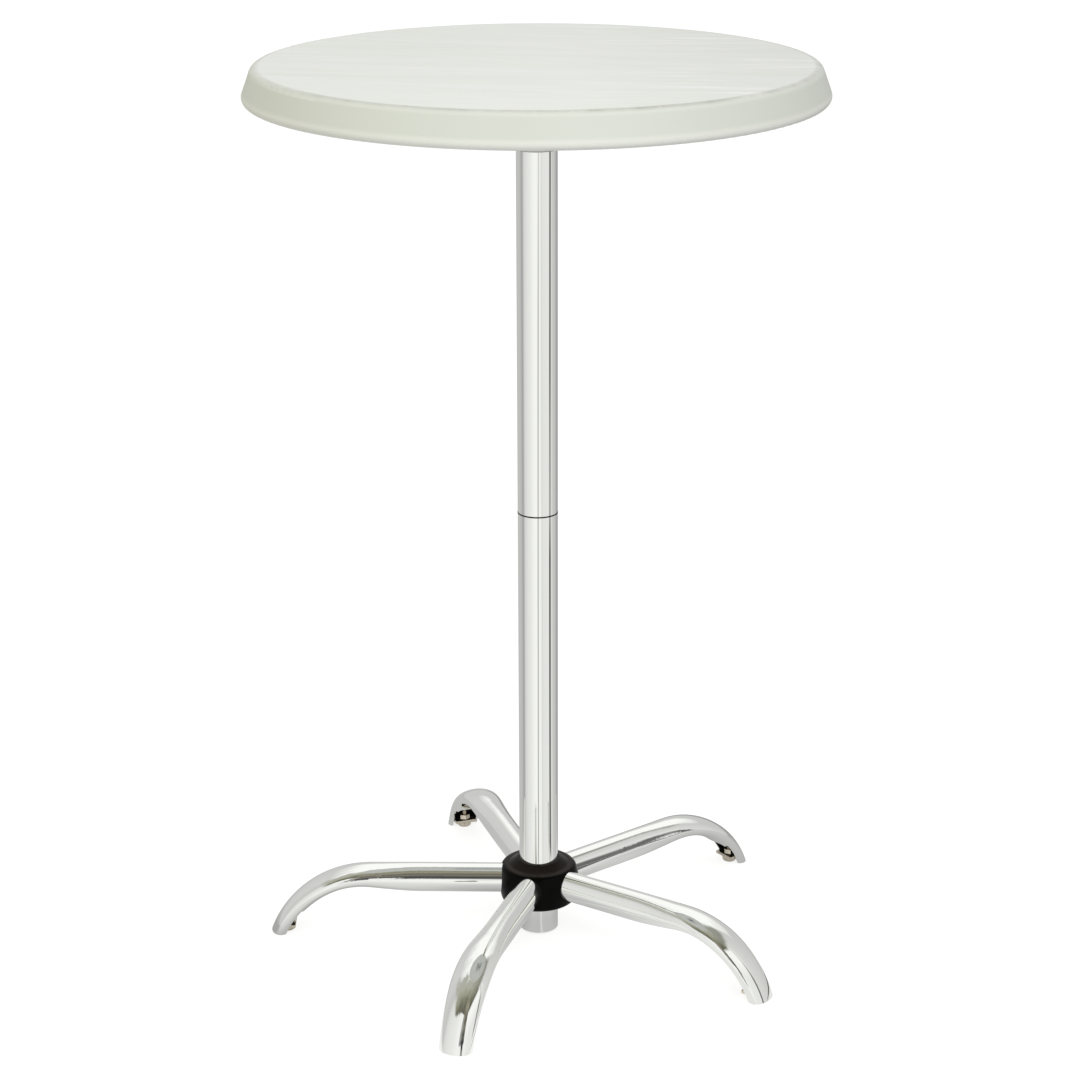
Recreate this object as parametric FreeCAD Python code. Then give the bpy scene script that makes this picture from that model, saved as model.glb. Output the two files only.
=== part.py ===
"""Folding bar table: tilting moulded top, two-piece pole, moulded hub and five curved tube legs.

Millimetres, +Z up.  The origin is on the floor, on the axis of the pole.  One leg points along -X.
The top tilts about a pivot beside the pole, towards +Y, and a star knob clamps it.
"""
import FreeCAD, Part

import os
from math import cos, degrees, pi, radians, sin, tan

V = FreeCAD.Vector
ORIGIN = V(0, 0, 0)
X_AXIS = V(1, 0, 0)
Y_AXIS = V(0, 1, 0)
Z_AXIS = V(0, 0, 1)

# Overall sizes
table_height = 1130.0
top_diameter = 694.0

# Fits and clearances, radial or face to face
seat_fit = 0.05
weld_gap = 0.1
running_fit = 0.06
face_gap = 0.1
slot_gap = 0.3

# Moulded top
rim_height = 41.0
rim_slope = 20.1
rim_roll = 7.0
rim_wall = 17.0
plate_thickness = 18.0
pad_margin = 13.6
pad_thickness = 4.0
pad_round = 3.0
top_edge_round = 9.3
rim_foot_round = 4.0
recess_round = 10.0

# Pole
pole_diameter = 50.0
pole_wall = 1.5
stub_height = 2.8
seam_height = 574.0
seam_ring_thickness = 1.0
seam_ring_inset = 0.4
insert_length = 30.0
stud_diameter = 16.0
stud_length = 56.0
stud_end_round = 1.5
end_plug_length = 16.0
end_plug_wall = 3.0
end_plug_recess = 0.8
end_plug_round = 1.0

# Legs
leg_count = 5
first_leg_azimuth = 180.0
leg_diameter = 38.1
leg_wall = 1.5
leg_rise = 1.0
leg_straight_reach = 218.6
bend_radius = 122.0
bend_angle = 69.0
toe_drop = 1.8
toe_length = 10.0
toe_clearance = 0.8
flatten_reach = 150.0
flatten_angle = 27.0
flat_top = 16.0
flat_depth = 8.0
flat_width = 48.0
toe_width = 42.4
flatten_stations = 9
bend_stations = 7
flatten_lead = 30.0
mouth_angle = 41.0
mouth_side = 6.0
mouth_depth = 2.0

# Hub
socket_length = 25.2
socket_rib = 3.0
hub_floor = 8.2
hub_roof = 1.4
hub_barrel = 6.0
hub_side_round = 60.0
hub_foot_round = 6.0
hub_shoulder_round = 8.0
collar_step = 1.2
collar_flare = 13.2
collar_height = 7.2
collar_top_wall = 2.2
collar_foot_round = 0.8
collar_top_round = 1.0
pole_wall_in_hub = 3.0
set_screw_diameter = 4.0
set_screw_azimuths = (72.0, 144.0)

# Leg screws and their nuts
leg_screw_diameter = 6.0
leg_screw_margin = 5.2
leg_screw_head = 11.0
leg_screw_head_height = 3.5
leg_screw_recess = 0.5
leg_screw_length = 18.0
leg_nut_diameter = 12.0
leg_nut_height = 8.0

# Foot brackets and glides
glide_inset = 4.4
glide_diameter = 19.0
glide_height = 7.5
glide_belly_height = 3.0
glide_foot_inset = 2.0
glide_crown_inset = 1.0
glide_round = 1.5
glide_crown_round = 1.0
glide_stud_diameter = 8.0
glide_travel = 8.0
bracket_thickness = 4.0
bracket_overhang = 11.0
bracket_nut_flats = 14.0
bracket_nut_height = 6.0

# Tilting mechanism
hinge_plate_size = 200.0
hinge_plate_thickness = 4.0
hinge_plate_round = 20.0
ear_thickness = 4.0
ear_wall = 6.0
ear_foot_clearance = 3.7
pivot_drop = 24.0
pivot_overhang = 7.0
pivot_diameter = 10.0
pivot_boss_radius = 16.0
clamp_radius = 34.0
clamp_diameter = 8.0
tilt_angle = 90.0
head_width = 36.0
head_front_overhang = 13.0
head_neck_inset = 1.4
head_neck_height = 12.0
head_corbel_height = 18.0
head_seat_gap = 18.0
head_nose_run = 10.0
head_corner_round = 8.0
head_seat_round = 2.0
head_nose_round = 3.0
head_flange_thickness = 4.0
head_plug_length = 45.0
head_plug_wall = 6.0
head_screw_diameter = 6.0
head_screw_head = 10.8
head_screw_head_height = 2.6
inner_washer_thickness = 1.0
outer_washer_thickness = 1.5
pivot_washer_diameter = 26.0
clamp_washer_diameter = 22.0
pivot_flats = 17.0
pivot_head_height = 6.5
pivot_nut_height = 8.0
pivot_tip_run = 2.0
clamp_head_diameter = 20.0
clamp_head_height = 4.5
clamp_head_round = 3.0
clamp_tip_gap = 1.0

# Star knob
knob_diameter = 40.0
knob_lobes = 5
knob_thickness = 15.0
knob_boss_diameter = 20.0
knob_boss_height = 8.0
knob_scallop_diameter = 16.0
knob_scallop_circle = 48.0
knob_boss_round = 1.0
knob_grip_round = 3.0
knob_crown_round = 5.0
insert_diameter = 14.0
insert_depth = 16.0

# Plate screws
plate_screw_diameter = 5.0
plate_screw_head = 10.0
plate_screw_head_height = 3.2
plate_screw_length = 17.0
plate_screw_margin = 15.0

# Screw ends
screw_tip_round = 0.8
screw_head_round = 1.8

# Heights and radii that follow
pole_radius = pole_diameter / 2
pole_bore = pole_radius - pole_wall
leg_radius = leg_diameter / 2
leg_climb = radians(leg_rise)
toe_dip = radians(bend_angle) - leg_climb
bend_fall = bend_radius * (cos(leg_climb) - cos(toe_dip))
leg_height = bend_fall - leg_straight_reach * sin(leg_climb) - toe_drop
leg_pitch = 360.0 / leg_count
half_pitch = radians(leg_pitch / 2)
sockets_meet = (leg_radius + socket_rib / 2 / cos(half_pitch)) / tan(half_pitch)
leg_root = max(sockets_meet, pole_radius + pole_wall_in_hub)
hub_radius = leg_root + socket_length
collar_radius = pole_radius + collar_flare
leg_screw_reach = leg_root + leg_nut_diameter / 2 + leg_screw_margin
mouth_width = toe_width - 2 * mouth_side
bend_centre = V(leg_straight_reach, 0, leg_height - bend_radius)
toe_reach = leg_straight_reach * cos(leg_climb) + bend_radius * (sin(leg_climb) + sin(toe_dip))
glide_reach = toe_reach - glide_inset
bracket_height = glide_height + face_gap
glide_stud_top = bracket_height + bracket_thickness + bracket_nut_height + glide_travel
hub_bottom = leg_height - leg_radius - hub_floor
hub_shoulder = leg_height + hub_radius * tan(leg_climb) + leg_radius + hub_roof
collar_bottom = hub_shoulder + collar_step
collar_top = collar_bottom + collar_height
top_radius = top_diameter / 2
rim_lean = radians(rim_slope)
rim_corner = top_radius - rim_roll + rim_roll * (1 / cos(rim_lean) + tan(rim_lean))
top_face_radius = rim_corner - rim_height * tan(rim_lean)
pad_radius = hinge_plate_size / 2 ** 0.5 + pad_margin
underside = table_height - plate_thickness
pad_face = underside - pad_thickness
seat_height = pad_face - hinge_plate_thickness - face_gap
pivot_height = seat_height - pivot_drop
pivot_offset = pole_radius + pivot_overhang
clamp_offset = pivot_offset - clamp_radius
slot_width = clamp_diameter + 2 * slot_gap
ear_radius = clamp_radius + slot_width / 2 + ear_wall
head_base = pivot_height - ear_radius - ear_foot_clearance
tube_top = head_base - head_flange_thickness
head_face = head_width / 2
ear_inner = head_face + inner_washer_thickness + face_gap
ear_outer = ear_inner + ear_thickness
outer_washer_seat = ear_outer + face_gap
outer_washer_face = outer_washer_seat + outer_washer_thickness


def placed(plane, a, b):
    """Point with coordinates a and b in the XY, XZ or YZ plane."""
    if plane == "xy":
        return V(a, b, 0)
    if plane == "xz":
        return V(a, 0, b)
    return V(0, a, b)


def rounded_wire(corners, plane):
    """Closed wire through corners (a, b, radius), each corner rounded by its own radius."""
    points = [placed(plane, a, b) for a, b, radius in corners]
    turns = []
    for index, (a, b, radius) in enumerate(corners):
        here = points[index]
        back = (points[index - 1] - here).normalize()
        ahead = (points[(index + 1) % len(points)] - here).normalize()
        if radius == 0:
            turns.append((here, None, here))
            continue
        half_turn = back.getAngle(ahead) / 2
        reach = radius / tan(half_turn)
        inward = (back + ahead).normalize()
        middle = here + inward * (radius / sin(half_turn) - radius)
        turns.append((here + back * reach, middle, here + ahead * reach))
    edges = []
    for index, (start, middle, end) in enumerate(turns):
        previous = turns[index - 1][2]
        if previous.distanceToPoint(start) > 1e-6:
            edges.append(Part.LineSegment(previous, start).toShape())
        if middle is not None:
            edges.append(Part.Arc(start, middle, end).toShape())
    return Part.Wire(edges)


def revolved(corners):
    """Solid of revolution about Z from corners (radius, height, rounding)."""
    return Part.Face(rounded_wire(corners, "xz")).revolve(ORIGIN, Z_AXIS, 360)


def extruded(corners, plane, start, length):
    """Prism of a rounded outline, from start along the normal of its plane."""
    normal = {"xy": Z_AXIS, "xz": Y_AXIS, "yz": X_AXIS}[plane]
    prism = Part.Face(rounded_wire(corners, plane)).extrude(normal * length)
    return prism.translated(normal * start)


def cylinder(radius, bottom, top):
    return Part.makeCylinder(radius, top - bottom, V(0, 0, bottom))


def tube(outer, inner, bottom, top):
    return cylinder(outer, bottom, top).cut(cylinder(inner, bottom, top))


def hexagon(flats, bottom, top):
    """Hexagonal prism about Z with its size across flats."""
    corner = flats / 2 / cos(pi / 6)
    points = [V(corner * cos(k * pi / 3), corner * sin(k * pi / 3), bottom) for k in range(7)]
    return Part.Face(Part.makePolygon(points)).extrude(V(0, 0, top - bottom))


def along_x(shape, y, z, flip=False):
    """Turn a shape made about Z to lie about an X line through (y, z); flip points it to -X."""
    turned = shape.copy()
    turned.rotate(ORIGIN, Y_AXIS, -90 if flip else 90)
    turned.translate(V(0, y, z))
    return turned


def around(shape, azimuth):
    """Copy of a shape turned about the pole."""
    turned = shape.copy()
    turned.rotate(ORIGIN, Z_AXIS, azimuth)
    return turned


def leg_azimuths():
    return [first_leg_azimuth + leg_pitch * k for k in range(leg_count)]


def raised(shape):
    """Copy of a shape made along the level line of a leg, turned up to the rise of the leg."""
    turned = shape.copy()
    turned.rotate(V(0, 0, leg_height), Y_AXIS, -leg_rise)
    return turned


# Moulded top


def table_top():
    """Flat top with a flared, rolled rim, hollow below and thickened where the hinge plate sits."""
    rim_foot = table_height - rim_height
    body = revolved([
        (0, table_height, 0),
        (top_face_radius, table_height, top_edge_round),
        (rim_corner, rim_foot, rim_roll),
        (rim_corner - rim_wall, rim_foot, rim_foot_round),
        (top_face_radius - rim_wall, underside, recess_round),
        (pad_radius + pad_thickness, underside, pad_round),
        (pad_radius, pad_face, 0),
        (0, pad_face, 0),
    ])
    for x, y in plate_screw_places():
        pilot = cylinder(plate_screw_diameter / 2 + seat_fit, pad_face, plate_screw_tip() + seat_fit)
        body = body.cut(pilot.translated(V(x, y, 0)))
    return body


def plate_screw_places():
    edge = hinge_plate_size / 2 - plate_screw_margin
    return [(i * edge, j * edge) for i in (-1, 1) for j in (-1, 0, 1)]


def plate_screw_tip():
    return pad_face - hinge_plate_thickness + plate_screw_length


def plate_screws():
    head_top = pad_face - hinge_plate_thickness
    head_bottom = head_top - plate_screw_head_height
    head = revolved([
        (0, head_bottom, 0),
        (plate_screw_head / 2, head_bottom, screw_head_round),
        (plate_screw_head / 2, head_top, 0),
        (0, head_top, 0),
    ])
    screw = head.fuse(cylinder(plate_screw_diameter / 2, head_top, plate_screw_tip())).removeSplitter()
    return Part.makeCompound([screw.translated(V(x, y, 0)) for x, y in plate_screw_places()])


# Tilting mechanism


def swept_slot(start, end):
    """Arc slot about the pivot for the clamp bolt, through the sheet between two X positions."""
    half = slot_width / 2
    inner = clamp_radius - half
    outer = clamp_radius + half
    section = Part.Face(Part.makePolygon([
        V(start, -inner, 0),
        V(end, -inner, 0),
        V(end, -outer, 0),
        V(start, -outer, 0),
        V(start, -inner, 0),
    ]))
    sweep = section.revolve(ORIGIN, X_AXIS, tilt_angle)
    for angle in (0, tilt_angle):
        finish = along_x(cylinder(half, start, end), -clamp_radius, 0)
        finish.rotate(ORIGIN, X_AXIS, angle)
        sweep = sweep.fuse(finish)
    return sweep.translated(V(0, pivot_offset, pivot_height))


def ear(start):
    """Quadrant ear of the hinge plate, one sheet thick, with pivot hole and arc slot."""
    lead = (slot_width / 2 + ear_wall) / clamp_radius
    first = pi - lead
    last = 1.5 * pi + lead
    plate_bottom = pad_face - hinge_plate_thickness

    def rim(angle):
        return V(0, pivot_offset + ear_radius * cos(angle), pivot_height + ear_radius * sin(angle))

    tail = V(0, pivot_offset + pivot_boss_radius, pivot_height)
    shoulder = V(0, tail.y, plate_bottom)
    front = V(0, rim(first).y, plate_bottom)
    outline = Part.Wire([
        Part.LineSegment(front, rim(first)).toShape(),
        Part.Arc(rim(first), rim((first + last) / 2), rim(last)).toShape(),
        Part.LineSegment(rim(last), tail).toShape(),
        Part.LineSegment(tail, shoulder).toShape(),
        Part.LineSegment(shoulder, front).toShape(),
    ])
    sheet = Part.Face(outline).extrude(V(ear_thickness, 0, 0)).translated(V(start, 0, 0))
    end = start + ear_thickness
    hole = cylinder(pivot_diameter / 2 + running_fit, start, end)
    return sheet.cut(along_x(hole, pivot_offset, pivot_height)).cut(swept_slot(start, end))


def hinge_plate():
    """Square plate screwed to the top, with two ears welded on below, beside the column head."""
    half = hinge_plate_size / 2
    plate = extruded([
        (-half, -half, hinge_plate_round),
        (half, -half, hinge_plate_round),
        (half, half, hinge_plate_round),
        (-half, half, hinge_plate_round),
    ], "xy", pad_face - hinge_plate_thickness, hinge_plate_thickness)
    for x, y in plate_screw_places():
        hole = cylinder(plate_screw_diameter / 2 + seat_fit, seat_height, pad_face)
        plate = plate.cut(hole.translated(V(x, y, 0)))
    return plate.fuse([ear(ear_inner), ear(-ear_outer)]).removeSplitter()


def column_head():
    """Cast head: plug in the tube, flange on its end, seat for the plate and nose for the pivot."""
    front = -pole_radius - head_front_overhang
    neck = pole_radius - head_neck_inset
    neck_top = head_base + head_neck_height
    seat_end = pivot_offset - head_seat_gap
    nose = pivot_offset + pivot_boss_radius
    nose_top = pivot_height + pivot_boss_radius
    nose_bottom = pivot_height - pivot_boss_radius
    block = extruded([
        (-neck, head_base, 0),
        (-neck, neck_top, head_corner_round),
        (front, neck_top + head_corbel_height, head_corner_round),
        (front, seat_height, head_seat_round),
        (seat_end, seat_height, head_nose_round),
        (seat_end + head_nose_run, nose_top, head_nose_round),
        (nose, nose_top, pivot_boss_radius),
        (nose, nose_bottom, pivot_boss_radius),
        (neck, nose_bottom, head_nose_round),
        (neck, head_base, 0),
    ], "yz", -head_face, head_width)
    plug = pole_bore - seat_fit
    flange = cylinder(pole_radius, tube_top, head_base)
    spigot = tube(plug, plug - head_plug_wall, tube_top - head_plug_length, tube_top)
    head = block.fuse([flange, spigot]).removeSplitter()
    for diameter, y in ((pivot_diameter, pivot_offset), (clamp_diameter, clamp_offset)):
        bore = cylinder(diameter / 2 + seat_fit, -head_width, head_width)
        head = head.cut(along_x(bore, y, pivot_height))
    return head.cut(head_screw_hole())


def head_screw_height():
    return tube_top - head_plug_length / 2


def head_screw_hole():
    """Radial hole at the back of the tube and the plug for the lock screw."""
    hole = cylinder(head_screw_diameter / 2 + seat_fit, 0, pole_diameter)
    hole.rotate(ORIGIN, X_AXIS, -90)
    return hole.translated(V(0, 0, head_screw_height()))


def head_screw():
    """Button-headed screw that locks the head in the tube, from the back."""
    inner = pole_bore - head_plug_wall
    crown = pole_radius + head_screw_head_height
    screw = revolved([
        (0, inner, 0),
        (head_screw_diameter / 2, inner, screw_tip_round),
        (head_screw_diameter / 2, pole_radius, 0),
        (head_screw_head / 2, pole_radius, 0),
        (head_screw_head / 2, crown, screw_head_round),
        (0, crown, 0),
    ])
    screw.rotate(ORIGIN, X_AXIS, -90)
    return screw.translated(V(0, 0, head_screw_height()))


def washer_pair(diameter, bore, y, start, end):
    """Two equal washers, one on each side of the column head, between two distances from its middle."""
    ring = tube(diameter / 2, bore / 2 + seat_fit, start, end)
    return [along_x(ring, y, pivot_height), along_x(ring, y, pivot_height, flip=True)]


def washers_inside_ears(diameter, bore, y):
    return washer_pair(diameter, bore, y, head_face, head_face + inner_washer_thickness)


def washers_outside_ears(diameter, bore, y):
    return washer_pair(diameter, bore, y, outer_washer_seat, outer_washer_face)


def pivot_washers():
    inner = washers_inside_ears(pivot_washer_diameter, pivot_diameter, pivot_offset)
    outer = washers_outside_ears(pivot_washer_diameter, pivot_diameter, pivot_offset)
    return Part.makeCompound(inner + outer)


def friction_discs():
    return Part.makeCompound(washers_inside_ears(clamp_washer_diameter, clamp_diameter, clamp_offset))


def clamp_washers():
    return Part.makeCompound(washers_outside_ears(clamp_washer_diameter, clamp_diameter, clamp_offset))


def pivot_bolt():
    """Hexagon bolt through the ears and the nose of the head."""
    tip = outer_washer_face + pivot_nut_height + pivot_tip_run
    head = hexagon(pivot_flats, -outer_washer_face - pivot_head_height, -outer_washer_face)
    bolt = head.fuse(cylinder(pivot_diameter / 2, -outer_washer_face, tip)).removeSplitter()
    return along_x(bolt, pivot_offset, pivot_height)


def pivot_nut():
    nut = hexagon(pivot_flats, outer_washer_face, outer_washer_face + pivot_nut_height)
    bore = cylinder(pivot_diameter / 2 + seat_fit, 0, 2 * outer_washer_face)
    return along_x(nut.cut(bore), pivot_offset, pivot_height)


def knob_seat():
    return outer_washer_face + slot_gap


def clamp_bolt():
    """Mushroom-headed bolt through both slots, which carries the star knob."""
    tip = knob_seat() + insert_depth - clamp_tip_gap
    crown = -outer_washer_face - clamp_head_height
    bolt = revolved([
        (0, crown, 0),
        (clamp_head_diameter / 4, crown, clamp_head_round),
        (clamp_head_diameter / 2, -outer_washer_face, 0),
        (clamp_diameter / 2, -outer_washer_face, 0),
        (clamp_diameter / 2, tip, screw_tip_round),
        (0, tip, 0),
    ])
    return along_x(bolt, clamp_offset, pivot_height)


def star_knob():
    """Knob with scalloped grip lobes and a boss that bears on the clamp washer."""
    base = knob_seat()
    grip = base + knob_boss_height
    crown = grip + knob_thickness
    knob = revolved([
        (0, base, 0),
        (knob_boss_diameter / 2, base, knob_boss_round),
        (knob_boss_diameter / 2, grip, 0),
        (knob_diameter / 2, grip, knob_grip_round),
        (knob_diameter / 2, crown, knob_crown_round),
        (0, crown, 0),
    ])
    scallop = cylinder(knob_scallop_diameter / 2, grip, crown).translated(V(knob_scallop_circle / 2, 0, 0))
    for k in range(knob_lobes):
        knob = knob.cut(around(scallop, 360 * k / knob_lobes))
    pocket = cylinder(insert_diameter / 2 + seat_fit, base, base + insert_depth)
    return along_x(knob.cut(pocket), clamp_offset, pivot_height)


def knob_insert():
    base = knob_seat()
    insert = tube(insert_diameter / 2, clamp_diameter / 2 + running_fit, base, base + insert_depth)
    return along_x(insert, clamp_offset, pivot_height)


# Pole


def upper_tube():
    bottom = seam_height + seam_ring_thickness / 2
    return tube(pole_radius, pole_bore, bottom, tube_top).cut(head_screw_hole())


def lower_tube():
    return tube(pole_radius, pole_bore, stub_height, seam_height - seam_ring_thickness / 2)


def seam_ring():
    bottom = seam_height - seam_ring_thickness / 2
    outer = pole_radius - seam_ring_inset
    return tube(outer, stud_diameter / 2 + seat_fit, bottom, bottom + seam_ring_thickness)


def tube_insert(bottom, top):
    """Turned insert in the end of a tube, bored for the stud."""
    return tube(pole_bore - seat_fit, stud_diameter / 2 + seat_fit, bottom, top)


def upper_insert():
    bottom = seam_height + seam_ring_thickness / 2
    return tube_insert(bottom, bottom + insert_length)


def lower_insert():
    top = seam_height - seam_ring_thickness / 2
    return tube_insert(top - insert_length, top)


def joint_stud():
    half = stud_length / 2
    return revolved([
        (0, seam_height - half, 0),
        (stud_diameter / 2, seam_height - half, stud_end_round),
        (stud_diameter / 2, seam_height + half, stud_end_round),
        (0, seam_height + half, 0),
    ])


def end_plug():
    """Hollow plug in the open end of the stub."""
    bottom = stub_height + end_plug_recess
    outer = pole_bore - seat_fit
    inner = outer - end_plug_wall
    return revolved([
        (0, bottom, 0),
        (outer, bottom, end_plug_round),
        (outer, bottom + end_plug_length, end_plug_round),
        (inner, bottom + end_plug_length, end_plug_round),
        (inner, bottom + end_plug_wall, end_plug_round),
        (0, bottom + end_plug_wall, 0),
    ])


# Hub


def hub():
    """Moulded, barrelled hub with a conical collar, a bore for the pole and a socket for each leg."""
    bore = pole_radius + seat_fit
    body = revolved([
        (bore, hub_bottom, 0),
        (hub_radius - hub_barrel, hub_bottom, hub_foot_round),
        (hub_radius, leg_height, hub_side_round),
        (hub_radius - hub_barrel, hub_shoulder, hub_shoulder_round),
        (collar_radius, collar_bottom, collar_foot_round),
        (bore + collar_top_wall, collar_top, collar_top_round),
        (bore, collar_top, 0),
    ])
    for azimuth in leg_azimuths():
        socket = Part.makeCylinder(leg_radius + seat_fit, hub_radius, V(leg_root, 0, leg_height), X_AXIS)
        shank = cylinder(leg_screw_diameter / 2 + seat_fit, hub_bottom, leg_height)
        recess = cylinder(leg_screw_head / 2 + slot_gap, hub_bottom, leg_screw_seat())
        screw_hole = shank.fuse(recess).translated(V(leg_screw_reach, 0, 0))
        body = body.cut(around(raised(socket).fuse(screw_hole), azimuth))
    for azimuth in set_screw_azimuths:
        body = body.cut(around(set_screw(seat_fit, hub_radius), azimuth))
    return body


def set_screw(oversize, end):
    """Plain rod along +X from the face of the pole, through the collar."""
    start = V(pole_radius, 0, (collar_bottom + collar_top) / 2)
    return Part.makeCylinder(set_screw_diameter / 2 + oversize, end - pole_radius, start, X_AXIS)


def hub_set_screws():
    """Grub screws in the collar, sunk just below its sloping face."""
    slope = (collar_flare - collar_top_wall) / collar_height
    end = pole_radius + (collar_flare + collar_top_wall) / 2 - slope * set_screw_diameter / 2
    return Part.makeCompound([around(set_screw(0, end), azimuth) for azimuth in set_screw_azimuths])


def leg_screw_seat():
    return hub_bottom + leg_screw_head_height + leg_screw_recess


def leg_screws():
    """Pan-headed screws up through the hub into the leg roots."""
    seat = leg_screw_seat()
    screw = revolved([
        (0, seat - leg_screw_head_height, 0),
        (leg_screw_head / 2, seat - leg_screw_head_height, screw_head_round),
        (leg_screw_head / 2, seat, 0),
        (leg_screw_diameter / 2, seat, 0),
        (leg_screw_diameter / 2, seat + leg_screw_length, screw_tip_round),
        (0, seat + leg_screw_length, 0),
    ]).translated(V(leg_screw_reach, 0, 0))
    return Part.makeCompound([around(screw, azimuth) for azimuth in leg_azimuths()])


def leg_nuts():
    """Round nut inserts that lie on the bottom of the bore of each leg root."""
    bottom = leg_height + leg_screw_reach * tan(leg_climb) - leg_radius
    top = bottom + leg_wall + leg_nut_height
    nut = tube(leg_nut_diameter / 2, leg_screw_diameter / 2 + seat_fit, bottom, top)
    nut.translate(V(leg_screw_reach, 0, 0))
    bore = leg_radius - leg_wall - seat_fit
    inside = Part.makeCylinder(bore, leg_straight_reach, V(0, 0, leg_height), X_AXIS)
    seated = nut.common(raised(inside))
    return Part.makeCompound([around(seated, azimuth) for azimuth in leg_azimuths()])


# Legs


def leg_station(along):
    """Centre and dip in radians, at a distance along the leg beyond the start of its flattening."""
    straight = leg_straight_reach - flatten_reach
    if along <= straight:
        return V(flatten_reach + along, 0, leg_height), 0.0
    dip = (along - straight) / bend_radius
    return bend_centre + V(sin(dip), 0, cos(dip)) * bend_radius, dip


def half_section(start, crest, end, middle):
    """Half of a tube section from start over its crest to end: an arc if round, else half an ellipse."""
    if abs(middle.distanceToPoint(start) - middle.distanceToPoint(crest)) < 1e-6:
        return Part.Arc(start, crest, end).toShape()
    return Part.ArcOfEllipse(Part.Ellipse(start, crest, middle), 0, pi).toShape()


def leg_section(centre, dip, inset, top, depth, width):
    """Oval section that reaches top above and depth below the leg's line, drawn in by inset."""
    up = V(sin(dip), 0, cos(dip))
    middle = centre + up * ((top - depth) / 2)
    crest = up * ((top + depth) / 2 - inset)
    side = Y_AXIS * (width / 2 - inset)
    upper = half_section(middle - side, middle + crest, middle + side, middle)
    lower = half_section(middle + side, middle - crest, middle - side, middle)
    return Part.Wire([upper, lower])


def eased(start, end, share):
    """Value between start and end that sets off and arrives gently."""
    return start + (end - start) * share * share * (3 - 2 * share)


def leg_body(inset):
    """Solid leg: round root that climbs a little, then a stretch that flattens and widens into the bend."""
    start = V(leg_root, 0, leg_height)
    root_length = flatten_reach - flatten_lead - leg_root
    root = Part.makeCylinder(leg_radius - inset, root_length, start, X_AXIS)
    flattened = leg_straight_reach - flatten_reach + bend_radius * radians(flatten_angle)
    bend_left = bend_radius * radians(bend_angle - flatten_angle)
    wires = []
    for along in (-flatten_lead, -flatten_lead / 2):
        wires.append(leg_section(*leg_station(along), inset, leg_radius, leg_radius, leg_diameter))
    for k in range(flatten_stations + 1):
        share = k / flatten_stations
        top = eased(leg_radius, flat_top, share)
        depth = eased(leg_radius, flat_depth, share)
        width = eased(leg_diameter, flat_width, share)
        wires.append(leg_section(*leg_station(flattened * share), inset, top, depth, width))
    for k in range(1, bend_stations + 1):
        share = k / bend_stations
        width = eased(flat_width, toe_width, share)
        station = leg_station(flattened + bend_left * share)
        wires.append(leg_section(*station, inset, flat_top, flat_depth, width))
    bend = Part.makeLoft(wires, True, False)
    dip = radians(bend_angle)
    toe = Part.Face(wires[-1]).extrude(V(cos(dip), 0, -sin(dip)) * toe_length)
    return raised(root.fuse([bend, toe]).removeSplitter())


def leg_mouth():
    """Cutter for the open underside of the leg end, with a round upper end."""
    reach = bend_radius - mouth_depth
    lead = mouth_angle + degrees(mouth_width / 2 / reach)
    radial = Part.Face(Part.makePolygon([
        V(0, -leg_diameter, 0),
        V(0, leg_diameter, 0),
        V(0, leg_diameter, reach),
        V(0, -leg_diameter, reach),
        V(0, -leg_diameter, 0),
    ]))
    cutter = radial.revolve(ORIGIN, Y_AXIS, 90).fuse(cylinder(mouth_width / 2, 0, reach))
    cutter.rotate(ORIGIN, Y_AXIS, lead)
    return raised(cutter.translated(bend_centre))


def leg():
    """Leg tube along +X: hollow, open below at its end and trimmed level just above the floor."""
    shell = leg_body(0).cut(leg_body(leg_wall))
    below = Part.makeBox(glide_reach, flat_width, bend_radius)
    below.translate(V(leg_straight_reach, -flat_width / 2, toe_clearance - bend_radius))
    hole = cylinder(leg_screw_diameter / 2 + seat_fit, 0, leg_height).translated(V(leg_screw_reach, 0, 0))
    return shell.cut(leg_mouth()).cut(below).cut(hole)


def foot_bracket():
    """Plate across the inside of the leg end, with a tongue out of its mouth and a welded nut."""
    top = bracket_height + bracket_thickness
    plate = Part.makeBox(bend_radius, flat_width, bracket_thickness)
    plate.translate(V(0, -flat_width / 2, bracket_height))
    tongue_width = mouth_width - 2 * weld_gap
    tongue = Part.makeBox(bracket_overhang, tongue_width, bracket_thickness)
    tongue.translate(V(-bracket_overhang, -tongue_width / 2, bracket_height))
    nut = hexagon(bracket_nut_flats, top, top + bracket_nut_height)
    hole = cylinder(glide_stud_diameter / 2 + running_fit, 0, leg_height)
    inside = leg_body(leg_wall + weld_gap).translated(V(-glide_reach, 0, 0))
    bracket = plate.common(inside).fuse([tongue, nut]).cut(hole).removeSplitter()
    return bracket.translated(V(glide_reach, 0, 0))


def glide():
    """Domed levelling foot with its stud, standing on the floor."""
    belly = glide_diameter / 2
    return revolved([
        (0, 0, 0),
        (belly - glide_foot_inset, 0, glide_round),
        (belly, glide_belly_height, glide_round),
        (belly - glide_crown_inset, glide_height, glide_crown_round),
        (glide_stud_diameter / 2, glide_height, 0),
        (glide_stud_diameter / 2, glide_stud_top, screw_tip_round),
        (0, glide_stud_top, 0),
    ]).translated(V(glide_reach, 0, 0))


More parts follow.
